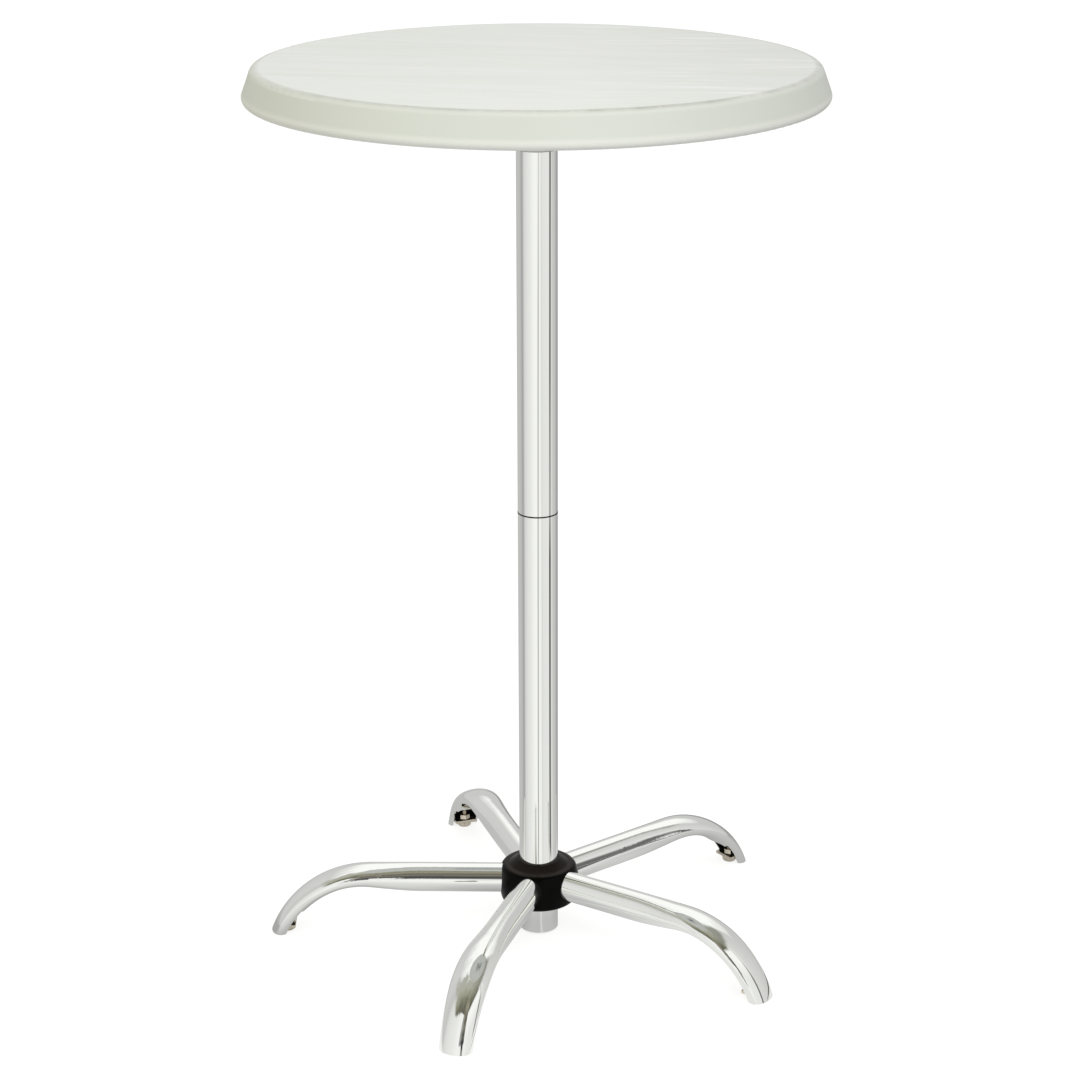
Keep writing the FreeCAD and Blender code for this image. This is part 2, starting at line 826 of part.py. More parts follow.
def build():
    """All nodes by name."""
    nodes = {
        "table_top": table_top(),
        "hinge_plate": hinge_plate(),
        "plate_screws": plate_screws(),
        "column_head": column_head(),
        "head_screw": head_screw(),
        "pivot_bolt": pivot_bolt(),
        "pivot_nut": pivot_nut(),
        "pivot_washers": pivot_washers(),
        "friction_discs": friction_discs(),
        "clamp_bolt": clamp_bolt(),
        "clamp_washers": clamp_washers(),
        "star_knob": star_knob(),
        "knob_insert": knob_insert(),
        "upper_tube": upper_tube(),
        "lower_tube": lower_tube(),
        "seam_ring": seam_ring(),
        "upper_insert": upper_insert(),
        "lower_insert": lower_insert(),
        "joint_stud": joint_stud(),
        "end_plug": end_plug(),
        "hub": hub(),
        "hub_set_screws": hub_set_screws(),
        "leg_screws": leg_screws(),
        "leg_nuts": leg_nuts(),
    }
    leg_parts = {"leg": leg(), "foot_bracket": foot_bracket(), "glide": glide()}
    for number, azimuth in enumerate(leg_azimuths(), start=1):
        for name, shape in leg_parts.items():
            nodes[f"{name}_{number}"] = around(shape, azimuth)
    return nodes


os.makedirs("parts", exist_ok=True)
for name, shape in build().items():
    shape.exportStep(f"parts/{name}.step")
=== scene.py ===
"""Folding bar table: finishes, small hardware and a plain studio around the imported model."""
from math import atan2, cos, pi, radians, sin, tan

import bmesh
import bpy
from bpy.props import FloatProperty, FloatVectorProperty, IntProperty, PointerProperty
from mathutils import Euler, Matrix, Vector


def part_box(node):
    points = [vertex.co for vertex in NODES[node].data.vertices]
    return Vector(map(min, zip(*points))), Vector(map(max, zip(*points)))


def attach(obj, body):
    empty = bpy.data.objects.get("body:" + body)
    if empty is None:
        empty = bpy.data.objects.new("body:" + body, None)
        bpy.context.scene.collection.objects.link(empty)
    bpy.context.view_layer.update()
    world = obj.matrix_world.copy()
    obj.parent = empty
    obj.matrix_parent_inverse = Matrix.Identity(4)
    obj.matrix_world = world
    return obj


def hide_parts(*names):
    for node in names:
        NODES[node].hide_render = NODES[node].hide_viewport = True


bl_info = {
    "name": "Folding bar table",
    "version": (1, 0, 0),
    "blender": (4, 5, 0),
    "location": "3D View > Sidebar > Bar table",
    "description": "Finishes, small hardware and a plain studio for a folding bar table",
    "category": "Object",
}

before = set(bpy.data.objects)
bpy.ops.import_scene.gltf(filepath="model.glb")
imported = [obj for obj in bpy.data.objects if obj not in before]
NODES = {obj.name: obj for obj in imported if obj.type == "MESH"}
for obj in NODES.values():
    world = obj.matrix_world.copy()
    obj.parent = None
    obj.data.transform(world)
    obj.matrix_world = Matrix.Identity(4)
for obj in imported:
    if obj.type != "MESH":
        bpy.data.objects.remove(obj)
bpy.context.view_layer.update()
LEGS = range(1, 6)
WHITE = (1.0, 1.0, 1.0, 1.0)
HEAD_DOWN = Matrix.Rotation(pi, 4, "X")
MERGE_DISTANCE = 1e-6  # points closer than this are one
SMOOTH_ANGLE = radians(32)  # edges sharper than this stay hard
CHAMFER = 0.0006  # at the ends of the screws' shanks
OVERCUT = 0.001  # how far a cutting tool runs past the face that it cuts
CLEARANCE = 0.00005  # between a bore and what sits in it


def length(name, description, default):
    """A length in metres that a user may change."""
    return FloatProperty(name=name, description=description, default=default, unit="LENGTH", precision=5)


def angle(name, description, degrees):
    """An angle that a user may change."""
    return FloatProperty(name=name, description=description, default=radians(degrees), subtype="ANGLE")


def colour(name, description, default):
    """A linear colour that a user may change."""
    return FloatVectorProperty(name=name, description=description, default=default, subtype="COLOR", min=0, max=1)


def share(name, description, default):
    """A plain number from 0 to 1."""
    return FloatProperty(name=name, description=description, default=default, subtype="FACTOR", min=0, max=1)


class TopFinish(bpy.types.PropertyGroup):
    """Colours of the moulded top"""
    body: colour("Body", "Ground colour of the moulding", (0.765, 0.785, 0.752))
    streak: colour("Streak", "Colour of the pale streaks", (0.84, 0.85, 0.842))
    streak_turn: angle("Streak turn", "Angle of the streaks from the X axis", 12)
    # Painted glints: pale flecks on the right-hand side of the face.
    glint: colour("Glint", "Colour of the pale scuffs on the rubbed side of the face", (0.97, 0.975, 0.965))
    # Painted shade: the face grows darker towards its right-hand side.
    side_shade: share("Dull side", "Share of the colour that is left at the far end of the rubbed side", 0.90)
    # Painted shade: a darker line in the crease round the face.
    shaded: share("Shaded edge", "Share of the colour that is left along the worn edge of the face", 0.55)
    rim: colour("Rim", "Colour of the rim", (0.745, 0.77, 0.715))
    # Painted highlight: a paler line along the foot of the rim.
    foot: colour("Rim foot", "Colour of the paler line along the foot of the rim", (0.90, 0.91, 0.87))
    roughness: share("Roughness", "Roughness of the moulded skin", 0.36)


class MetalFinish(bpy.types.PropertyGroup):
    """Colours of the metal pieces"""
    chrome: colour("Chrome", "Polished plate on the tubes and legs", (0.955, 0.965, 0.93))
    chrome_roughness: share("Chrome roughness", "Roughness of the polished plate", 0.012)
    bore: colour("Bore", "Unplated inside of the leg tubes", (0.012, 0.012, 0.011))
    nickel: colour("Nickel", "Plate on the brackets and glides", (0.80, 0.73, 0.60))
    zinc: colour("Zinc", "Plate on the hinge plate and screws", (0.60, 0.61, 0.62))
    cast: colour("Cast", "Cast aluminium of the column head", (0.52, 0.52, 0.52))
    brass: colour("Brass", "Threaded insert of the knob", (0.72, 0.52, 0.22))


class PlasticFinish(bpy.types.PropertyGroup):
    """Colours of the black plastic pieces"""
    hub: colour("Hub", "Moulded hub", (0.0010, 0.0009, 0.0008))
    hub_roughness: share("Hub roughness", "Roughness of the hub", 0.22)
    fitting: colour("Fittings", "Knob, plug and friction discs", (0.014, 0.014, 0.014))
    seam: colour("Seam", "Ring in the seam of the pole", (0.002, 0.002, 0.002))
    # Painted sheen: a lighter brownish tint on the slope of the hub's collar.
    collar: colour("Collar", "Highlighted slope of the hub's collar", (0.020, 0.0155, 0.0135))


class LegSizes(bpy.types.PropertyGroup):
    """Line that the leg tubes follow"""
    straight: length("Straight", "Reach of the straight part from the pole", 0.2186)
    bend: length("Bend", "Radius of the bend", 0.122)
    height: length("Height", "Height above the floor at which the legs' lines meet", 0.07066)
    rise: angle("Rise", "Upward slope of the straight part", 1.0)
    first: angle("First leg", "Direction of the first leg", 180)


class HardwareSizes(bpy.types.PropertyGroup):
    """Screws, bolts and glides"""
    plate_screw_head: length("Plate screw head", "Diameter of the heads of the plate screws", 0.010)
    plate_screw_height: length("Plate screw height", "Height of the heads of the plate screws", 0.0032)
    plate_screw_shank: length("Plate screw shank", "Diameter of the plate screws", 0.005)
    leg_screw_head: length("Leg screw head", "Diameter of the heads of the leg screws", 0.011)
    leg_screw_height: length("Leg screw height", "Height of the heads of the leg screws", 0.0035)
    leg_screw_shank: length("Leg screw shank", "Diameter of the leg screws", 0.006)
    set_screw: length("Set screw", "Diameter of the set screws in the collar", 0.004)
    set_screw_face: length("Set screw face", "Distance of the set screws' outer ends from the pole's axis", 0.02964)
    lock_screw_head: length("Lock screw head", "Diameter of the head of the lock screw", 0.0108)
    lock_screw_height: length("Lock screw height", "Height of the head of the lock screw", 0.0026)
    lock_screw_shank: length("Lock screw shank", "Diameter of the lock screw", 0.006)
    pivot: length("Pivot bolt", "Diameter of the pivot bolt", 0.010)
    pivot_flats: length("Pivot flats", "Size of the pivot bolt and nut across flats", 0.017)
    pivot_head: length("Pivot head", "Height of the head of the pivot bolt", 0.0065)
    glide: length("Glide", "Diameter of the glides", 0.019)
    glide_height: length("Glide height", "Height of the domed part of the glides", 0.0075)
    glide_stud: length("Glide stud", "Diameter of the glides' studs", 0.008)
    thread: length("Thread", "Pitch of the threads that show", 0.00125)
    knob: length("Knob", "Diameter of the star knob", 0.040)
    knob_boss: length("Knob boss", "Height of the boss under the star knob", 0.008)
    knob_boss_width: length("Knob boss width", "Diameter of the boss under the star knob", 0.020)
    knob_lobes: IntProperty(name="Knob lobes", description="Number of grips round the star knob", default=5)
    seam_lip: length("Seam lip", "Height of the ring that shows in the seam of the pole", 0.0018)
    seam_stand: length("Seam stand", "How far the seam ring stands out from the pole", 0.00025)
    ear_face: length("Ear face", "Distance of the outer faces of the hinge ears from the middle", 0.0231)
    bead: length("Weld bead", "Width of the weld beads along the hinge ears", 0.0042)


class StudioSettings(bpy.types.PropertyGroup):
    """Camera, floor and light"""
    lens: FloatProperty(name="Lens", description="Focal length of the camera", default=87.8, unit="CAMERA")
    distance: length("Distance", "Level distance from the pole to the camera", 3.109)
    height: length("Height", "Height of the camera above the floor", 1.607)
    turn: angle("Turn", "Turn of the camera about the pole", -0.75)
    aim: angle("Aim", "Turn of the camera off the pole", -0.05)
    dip: angle("Dip", "Downward tilt of the camera", 19.0)
    roll: angle("Roll", "Turn of the camera about its own line of sight", -0.14)
    floor_size: length("Floor", "Side of the square floor", 24.0)
    sky: FloatProperty(name="Sky", description="Strength of the soft light from all round", default=0.67)
    key: FloatProperty(name="Key", description="Power of the softbox", default=22.0, unit="POWER")


def begin():
    """Object mode, with nothing selected."""
    if bpy.context.mode != "OBJECT":
        bpy.ops.object.mode_set(mode="OBJECT")
    bpy.ops.object.select_all(action="DESELECT")


def choose(piece):
    """Select one piece alone and make it active."""
    begin()
    piece.select_set(True)
    bpy.context.view_layer.objects.active = piece


def pick(piece, kind, test):
    """Enter edit mode with only the verts, edges or faces that pass a test selected."""
    choose(piece)
    bpy.ops.object.mode_set(mode="EDIT")
    bpy.ops.mesh.select_mode(type={"verts": "VERT", "edges": "EDGE", "faces": "FACE"}[kind])
    bpy.ops.mesh.select_all(action="DESELECT")
    for part in getattr(bmesh.from_edit_mesh(piece.data), kind):
        if test(part):
            part.select_set(True)
    bmesh.update_edit_mesh(piece.data)


def leave():
    """Back to object mode."""
    bpy.ops.object.mode_set(mode="OBJECT")


def copy_of(piece):
    """A copy with its own mesh."""
    twin = bpy.data.objects.new(piece.name, piece.data.copy())
    twin.matrix_world = piece.matrix_world
    bpy.context.scene.collection.objects.link(twin)
    return twin


def cad_copy(node):
    """A merged copy of a CAD node's mesh, with plain normals."""
    piece = bpy.data.objects.new(node, NODES[node].data.copy())
    bpy.context.scene.collection.objects.link(piece)
    pick(piece, "verts", lambda vert: True)
    bpy.ops.mesh.remove_doubles(threshold=MERGE_DISTANCE)
    bpy.ops.mesh.customdata_custom_splitnormals_clear()
    leave()
    return piece


def turned(profile, steps=32):
    """A closed solid of revolution about Z, drawn point by point as (radius, height) and spun."""
    begin()
    bpy.ops.mesh.primitive_plane_add(size=0.001)
    bpy.ops.object.mode_set(mode="EDIT")
    bpy.ops.mesh.select_mode(type="VERT")
    bpy.ops.mesh.merge(type="CENTER")
    here = Vector((0, 0, 0))
    for index, (radius, height) in enumerate(profile):
        step = Vector((radius, 0, height)) - here
        if index == 0:
            bpy.ops.transform.translate(value=step)
        else:
            bpy.ops.mesh.extrude_region_move(TRANSFORM_OT_translate={"value": step})
        here += step
    bpy.ops.mesh.select_all(action="SELECT")
    bpy.ops.mesh.spin(steps=steps, angle=2 * pi, center=(0, 0, 0), axis=(0, 0, 1))
    bpy.ops.mesh.select_all(action="SELECT")
    bpy.ops.mesh.remove_doubles(threshold=MERGE_DISTANCE)
    bpy.ops.mesh.normals_make_consistent(inside=False)
    leave()
    return bpy.context.object


def rod(sides, radius, bottom, top):
    """A prism about Z to shape further."""
    begin()
    bpy.ops.mesh.primitive_cylinder_add(vertices=sides, radius=radius, depth=top - bottom,
                                        location=(0, 0, (top + bottom) / 2))
    bpy.ops.object.transform_apply()
    return bpy.context.object


def combine(piece, other, operation):
    """Apply a boolean with another piece, which is used up."""
    choose(piece)
    cut = piece.modifiers.new("cut", "BOOLEAN")
    cut.operation = operation
    cut.solver = "EXACT"
    cut.object = other
    bpy.ops.object.modifier_apply(modifier=cut.name)
    bpy.data.objects.remove(other)


def soften(piece, width, segments=2, limit=radians(40)):
    """Round the hard edges of a piece."""
    choose(piece)
    edge = piece.modifiers.new("edge", "BEVEL")
    edge.width = width
    edge.segments = segments
    edge.limit_method = "ANGLE"
    edge.angle_limit = limit
    bpy.ops.object.modifier_apply(modifier=edge.name)


def eased_copy(node, width, segments=2):
    """A copy of a CAD node's mesh with its flat faces joined up and its hard edges rounded."""
    piece = cad_copy(node)
    pick(piece, "faces", lambda face: True)
    bpy.ops.mesh.dissolve_limited(angle_limit=radians(0.3))
    leave()
    soften(piece, width, segments)
    return piece


def settle(piece, name, materials, body, node, place=None):
    """Put a finished piece in its place, on its body, for its CAD node."""
    if place is not None:
        piece.matrix_world = place
    choose(piece)
    bpy.ops.object.transform_apply()
    bpy.ops.object.shade_smooth_by_angle(angle=SMOOTH_ANGLE)
    piece.name = name
    piece.data.name = name
    piece.data.materials.clear()
    for material in materials:
        piece.data.materials.append(material)
    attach(piece, body)
    if node is not None:
        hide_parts(node)


def settle_copies(master, name, materials, bodies, nodes, places):
    """Copy a finished piece to each of its places and remove the first one."""
    for index, (body, node, place) in enumerate(zip(bodies, nodes, places), start=1):
        settle(copy_of(master), f"{name}_{index}", materials, body, node, place)
    bpy.data.objects.remove(master)


def leg_directions(context):
    """Directions of the legs about the pole, evenly spread."""
    first = context.scene.bartable_leg.first
    return [first + 2 * pi * k / len(LEGS) for k in range(len(LEGS))]


def lying_along_x(y, z):
    """Place that turns a piece made about Z to lie along an X line."""
    return Matrix.Translation((0, y, z)) @ Matrix.Rotation(pi / 2, 4, "Y")


def middle_of(node):
    """Middle of a CAD node's box."""
    low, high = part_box(node)
    return (low + high) / 2


def new_material(name):
    """A material with its node tree and its shader."""
    material = bpy.data.materials.new(name)
    material.use_nodes = True
    tree = material.node_tree
    return material, tree, tree.nodes["Principled BSDF"]


def add_node(tree, kind, inputs=None, **settings):
    """A node with its settings, and its inputs by name or number: a socket is linked, a value is set."""
    made = tree.nodes.new(kind)
    for name, value in settings.items():
        setattr(made, name, value)
    for name, value in (inputs or {}).items():
        if isinstance(value, bpy.types.NodeSocket):
            tree.links.new(value, made.inputs[name])
        else:
            made.inputs[name].default_value = value
    return made


def mapped(tree, scale=(1.0, 1.0, 1.0), turn=0.0):
    """Object coordinates, turned about Z and then scaled."""
    place = add_node(tree, "ShaderNodeTexCoord").outputs["Object"]
    level = add_node(tree, "ShaderNodeMapping", {"Vector": place, "Rotation": (0, 0, turn)})
    return add_node(tree, "ShaderNodeMapping", {"Vector": level.outputs[0], "Scale": scale}).outputs[0]


def noise(tree, vector, scale, detail=4.0, roughness=0.55, distortion=0.0):
    """Smooth random values, about 0.5."""
    return add_node(tree, "ShaderNodeTexNoise", {
        "Vector": vector, "Scale": scale, "Detail": detail, "Roughness": roughness,
        "Distortion": distortion}).outputs["Fac"]


def ramp(tree, factor, stops):
    """Colour ramp through (position from 0 to 1, brightness or colour) stops."""
    made = add_node(tree, "ShaderNodeValToRGB", {"Fac": factor})
    elements = made.color_ramp.elements
    while len(elements) < len(stops):
        elements.new(0.5)
    for element, (position, value) in zip(elements, stops):
        element.position = position
        element.color = (*value, 1.0) if hasattr(value, "__len__") else (value, value, value, 1.0)
    return made.outputs["Color"]


def maths(tree, operation, first, second=0.0):
    """One sum on one or two values."""
    return add_node(tree, "ShaderNodeMath", {0: first, 1: second}, operation=operation).outputs[0]


def bands(tree, value, stops):
    """Ramp through (place, brightness or colour) stops, written in the units of the value."""
    low, high = stops[0][0], stops[-1][0]
    part = add_node(tree, "ShaderNodeMapRange", {"Value": value, "From Min": low, "From Max": high}).outputs[0]
    return ramp(tree, part, [((place - low) / (high - low), shade) for place, shade in stops])


def degrees(tree, value):
    """An angle in degrees."""
    return maths(tree, "DEGREES", value)


def axes_of(tree, vector):
    """X, Y and Z of a vector, by name."""
    return add_node(tree, "ShaderNodeSeparateXYZ", {"Vector": vector}).outputs


def compass(tree, axes):
    """Level direction in degrees: 0 is to the front, along -Y, and more is to the right, towards +X."""
    return degrees(tree, maths(tree, "ARCTAN2", axes["X"], maths(tree, "MULTIPLY", axes["Y"], -1.0)))


def reach_of(tree, axes):
    """Level distance from the pole."""
    squares = [maths(tree, "POWER", axes[name], 2.0) for name in "XY"]
    return maths(tree, "SQRT", maths(tree, "ADD", *squares))


def product(tree, *factors):
    """Several factors multiplied."""
    total = factors[0]
    for factor in factors[1:]:
        total = maths(tree, "MULTIPLY", total, factor)
    return total


def blend(tree, factor, first, second, kind="MIX"):
    """Colour between two colours."""
    made = add_node(tree, "ShaderNodeMix", {0: factor, 6: first, 7: second}, data_type="RGBA", blend_type=kind)
    return made.outputs[2]


def bump(tree, height, strength, distance):
    """A normal that follows small heights."""
    return add_node(tree, "ShaderNodeBump", {
        "Height": height, "Strength": strength, "Distance": distance}).outputs["Normal"]


def link(tree, source, shader, socket):
    """Join a node's result to a socket of the shader."""
    tree.links.new(source, shader.inputs[socket])


def paint(nodes, material):
    """Give CAD nodes a material in their own slots."""
    for name in nodes:
        slots = NODES[name].data.materials
        slots.clear()
        slots.append(material)


def moulded_top_material(finish):
    """Off-white moulding with faint drawn-out streaks, a painted shade line round the face and a painted highlight on
    the rim's foot.

    The right-hand side is a shade duller with painted shade, and has painted glints on the face."""
    material, tree, shader = new_material("moulded_top")
    streaks = noise(tree, mapped(tree, (1.6, 11.0, 11.0), finish.streak_turn), 2.2, 7.0, 0.62, 0.8)
    fine = noise(tree, mapped(tree, (5.0, 60.0, 60.0), finish.streak_turn), 2.0, 5.0, 0.6, 0.4)
    both = add_node(tree, "ShaderNodeMix", {"Factor": 0.3, "A": streaks, "B": fine}, data_type="FLOAT").outputs[0]
    tint = ramp(tree, both, ((0.36, tuple(finish.body)), (0.64, tuple(finish.streak))))
    # Places on the top as shares of its size: out from the middle, to the right and up from the foot of the rim.
    low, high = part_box("table_top")
    axes = axes_of(tree, mapped(tree))
    reach = maths(tree, "DIVIDE", reach_of(tree, axes), high.x)
    sideways = maths(tree, "DIVIDE", axes["X"], high.x)
    above = maths(tree, "DIVIDE", maths(tree, "SUBTRACT", axes["Z"], low.z), high.z - low.z)
    # Painted glints: pale flecks in patches, on the right-hand side of the face only.
    glint_noise = noise(tree, mapped(tree, (5.5, 66.0, 5.5), finish.streak_turn / 3), 1.0, 4.0)
    glints = product(tree, ramp(tree, glint_noise, ((0.53, 0.0), (0.70, 0.85))),
                     ramp(tree, noise(tree, mapped(tree), 9.0, 2.0), ((0.42, 0.0), (0.60, 1.0))),
                     ramp(tree, sideways, ((0.0, 0.0), (0.3, 1.0))))
    tint = blend(tree, glints, tint, (*finish.glint, 1.0))
    outside = ramp(tree, reach, ((0.955, 0.0), (0.968, 1.0)))
    tint = blend(tree, outside, tint, (*finish.rim, 1.0))
    # Painted shade: a dark line in the crease round the face, patchy, strongest at the front.
    edge = ramp(tree, reach, ((0.938, 0.0), (0.947, 1.0), (0.957, 1.0), (0.968, 0.0)))
    upper = ramp(tree, above, ((0.68, 0.0), (0.78, 1.0)))
    patches = ramp(tree, noise(tree, mapped(tree), 14.0, 5.0, 0.7), ((0.38, 0.55), (0.60, 1.0)))
    side = bands(tree, compass(tree, axes), (
        (-180, 0.45), (-75, 0.35), (-40, 0.8), (-15, 1.0), (30, 1.0), (60, 0.65), (110, 0.45), (180, 0.45)))
    shaded = product(tree, edge, upper, patches, side)
    painted_crease_shade = (finish.shaded, finish.shaded, 0.92 * finish.shaded)
    tint = blend(tree, shaded, tint, blend(tree, 1.0, tint, (*painted_crease_shade, 1.0), "MULTIPLY"))
    # Painted highlight: the foot of the rim is made paler.
    foot = maths(tree, "MULTIPLY", outside, ramp(tree, above, ((0.16, 1.0), (0.34, 0.0))))
    tint = blend(tree, foot, tint, (*finish.foot, 1.0))
    # Painted shade: the face darkens from the middle towards its right-hand edge.
    tint = blend(tree, 1.0, tint, ramp(tree, sideways, ((0.1, 1.0), (0.9, finish.side_shade))), "MULTIPLY")
    link(tree, tint, shader, "Base Color")
    shader.inputs["Specular IOR Level"].default_value = 0.4
    matt, gloss = finish.roughness + 0.06, finish.roughness - 0.06
    link(tree, ramp(tree, both, ((0.3, matt), (0.7, gloss))), shader, "Roughness")
    link(tree, bump(tree, noise(tree, mapped(tree), 700.0, 2.0), 0.12, 0.0004), shader, "Normal")
    return material


def chrome_material(finish):
    """Bright plate with the faintest uneven polish."""
    material, tree, shader = new_material("chrome")
    shader.inputs["Metallic"].default_value = 1.0
    shader.inputs["Base Color"].default_value = (*finish.chrome, 1.0)
    haze = noise(tree, mapped(tree), 40.0, 5.0)
    low = finish.chrome_roughness
    link(tree, ramp(tree, haze, ((0.35, low), (0.75, low + 0.018))), shader, "Roughness")
    return material


def bore_material(finish):
    """Dull, unplated steel inside the legs."""
    material, tree, shader = new_material("leg_bore")
    cloud = noise(tree, mapped(tree), 120.0, 5.0)
    tint = tuple(finish.bore)
    link(tree, ramp(tree, cloud, ((0.3, tint), (0.8, tuple(c * 2 for c in tint)))), shader, "Base Color")
    shader.inputs["Roughness"].default_value = 0.7
    shader.inputs["Specular IOR Level"].default_value = 0.2
    return material


def plated_material(name, tint, roughness, grain=260.0):
    """Duller plate over pressed or turned steel, with small stains."""
    material, tree, shader = new_material(name)
    shader.inputs["Metallic"].default_value = 1.0
    place = mapped(tree)
    stains = noise(tree, place, 90.0, 6.0, 0.65)
    dark = tuple(c * 0.86 for c in tint)
    link(tree, ramp(tree, stains, ((0.32, dark), (0.62, tuple(tint)))), shader, "Base Color")
    link(tree, ramp(tree, stains, ((0.3, roughness + 0.16), (0.7, roughness))), shader, "Roughness")
    link(tree, bump(tree, noise(tree, place, grain, 3.0), 0.15, 0.0003), shader, "Normal")
    return material


def black_plastic_material(name, tint, roughness, shine):
    """Moulded black plastic with a fine grain."""
    material, tree, shader = new_material(name)
    place = mapped(tree)
    cloud = noise(tree, place, 60.0, 4.0)
    link(tree, ramp(tree, cloud, ((0.3, tuple(tint)), (0.75, tuple(c * 1.6 for c in tint)))), shader, "Base Color")
    link(tree, ramp(tree, cloud, ((0.3, roughness), (0.75, roughness + 0.1))), shader, "Roughness")
    link(tree, bump(tree, noise(tree, place, 1400.0, 2.0), 0.1, 0.0002), shader, "Normal")
    shader.inputs["Specular IOR Level"].default_value = shine
    return material


def hub_material(finish):
    """Black plastic with a painted sheen on the slope of the collar, palest along its foot as a painted highlight."""
    material = black_plastic_material("hub_plastic", finish.hub, finish.hub_roughness, 0.06)
    tree = material.node_tree
    shader = tree.nodes["Principled BSDF"]
    plain = shader.inputs["Base Color"].links[0].from_socket
    depth = maths(tree, "SUBTRACT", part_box("hub")[1].z, axes_of(tree, mapped(tree))["Z"])
    # Painted sheen: the collar's slope is tinted lighter, palest in a ring along its foot as a painted highlight.
    slope = bands(tree, depth, ((0.0, 0.55), (0.0055, 0.7), (0.0068, 1.0), (0.0078, 1.0), (0.0088, 0.0)))
    painted_light = ramp(tree, noise(tree, mapped(tree), 90.0, 5.0, 0.65), ((0.3, 0.7), (0.65, 1.0)))
    link(tree, blend(tree, product(tree, slope, painted_light), plain, (*finish.collar, 1.0)), shader, "Base Color")
    return material


def zinc_material(context):
    """Zinc plate, made once for all the screws and the hinge plate."""
    made = bpy.data.materials.get("zinc")
    return made or plated_material("zinc", context.scene.bartable_metal.zinc, 0.3)


def thread(outer, bottom, top, pitch):
    """Profile of thread ridges between two heights."""
    depth = 0.55 * pitch
    count = int((top - bottom) / pitch)
    points = []
    for k in range(count):
        start = bottom + k * pitch
        points += [(outer - depth, start), (outer - depth, start + 0.15 * pitch), (outer, start + 0.5 * pitch),
                   (outer, start + 0.65 * pitch)]
    return points + [(outer - depth, bottom + count * pitch)]


def cross_screw(head, height, shank, run):
    """Pan-headed screw with a cross recess: seat at Z 0, head towards +Z."""
    radius = head / 2
    screw = turned([
        (0, -run), (shank / 2 - CHAMFER, -run), (shank / 2, -run + CHAMFER), (shank / 2, 0), (radius, 0),
        (radius, 0.35 * height), (0.95 * radius, 0.58 * height), (0.82 * radius, 0.8 * height),
        (0.6 * radius, 0.94 * height), (0.3 * radius, height), (0, height)])
    depth = 0.62 * height
    for turn in (0, pi / 2):
        begin()
        bpy.ops.mesh.primitive_cube_add(size=1, location=(0, 0, height - depth / 2 + 0.0002))
        arm = bpy.context.object
        arm.scale = (1.15 * radius, 0.28 * radius, depth + 0.0004)
        arm.rotation_euler.z = turn
        bpy.ops.object.transform_apply()
        pick(arm, "faces", lambda face: face.normal.z < -0.9)
        bpy.ops.transform.resize(value=(0.6, 0.6, 1.0), center_override=(0, 0, 0))
        leave()
        combine(screw, arm, "DIFFERENCE")
    return screw


def hexagon_head(flats, bottom, top):
    """Hexagon with its outer corners turned off at 30 degrees."""
    head = rod(6, flats / 2 / cos(pi / 6), bottom, top)
    face = 0.94 * flats / 2
    below = bottom - OVERCUT
    wide = face + (top - bottom + OVERCUT) / tan(pi / 6)
    lathe = turned([(0, below), (wide, below), (face, top), (0, top)], 64)
    combine(head, lathe, "INTERSECT")
    return head


class BARTABLE_OT_top_finish(bpy.types.Operator):
    """Finish the moulded top"""
    bl_idname = "bartable.top_finish"
    bl_label = "Moulded top"

    def execute(self, context):
        paint(["table_top"], moulded_top_material(context.scene.bartable_top))
        return {"FINISHED"}


class BARTABLE_OT_metal_finish(bpy.types.Operator):
    """Finish the pole and the metal pieces that keep their CAD form"""
    bl_idname = "bartable.metal_finish"
    bl_label = "Pole and plain metal"

    def execute(self, context):
        finish = context.scene.bartable_metal
        paint(["upper_tube", "lower_tube"], chrome_material(finish))
        paint(["pivot_washers", "clamp_bolt", "clamp_washers", "upper_insert", "lower_insert", "joint_stud",
               "leg_nuts"], zinc_material(context))
        paint(["knob_insert"], plated_material("brass", finish.brass, 0.25))
        return {"FINISHED"}


class BARTABLE_OT_plastic_finish(bpy.types.Operator):
    """Finish the hub and the small plastic pieces"""
    bl_idname = "bartable.plastic_finish"
    bl_label = "Hub and plain plastic"

    def execute(self, context):
        finish = context.scene.bartable_plastic
        paint(["hub"], hub_material(finish))
        paint(["end_plug", "friction_discs"], black_plastic_material("fitting_plastic", finish.fitting, 0.45, 0.4))
        return {"FINISHED"}


class BARTABLE_OT_seam(bpy.types.Operator):
    """Model the ring in the seam of the pole, with a rounded lip that covers the tubes' edges"""
    bl_idname = "bartable.seam"
    bl_label = "Seam ring"

    def execute(self, context):
        hardware = context.scene.bartable_hardware
        low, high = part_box("seam_ring")
        middle = (low.z + high.z) / 2
        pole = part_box("lower_tube")[1].x
        lip = hardware.seam_lip / 2
        root = pole + 0.00002
        inside = root - 0.0012
        outside = pole + hardware.seam_stand
        shoulder = outside - 0.00005
        ring = turned([
            (inside, low.z), (root, low.z), (root, middle - lip), (shoulder, middle - 0.85 * lip),
            (outside, middle - 0.4 * lip), (outside, middle + 0.4 * lip), (shoulder, middle + 0.85 * lip),
            (root, middle + lip), (root, high.z), (inside, high.z), (inside, low.z)], 96)
        rubber = black_plastic_material("seam_rubber", context.scene.bartable_plastic.seam, 0.6, 0.1)
        settle(ring, "seam_lip_ring", [rubber], "base", "seam_ring")
        return {"FINISHED"}


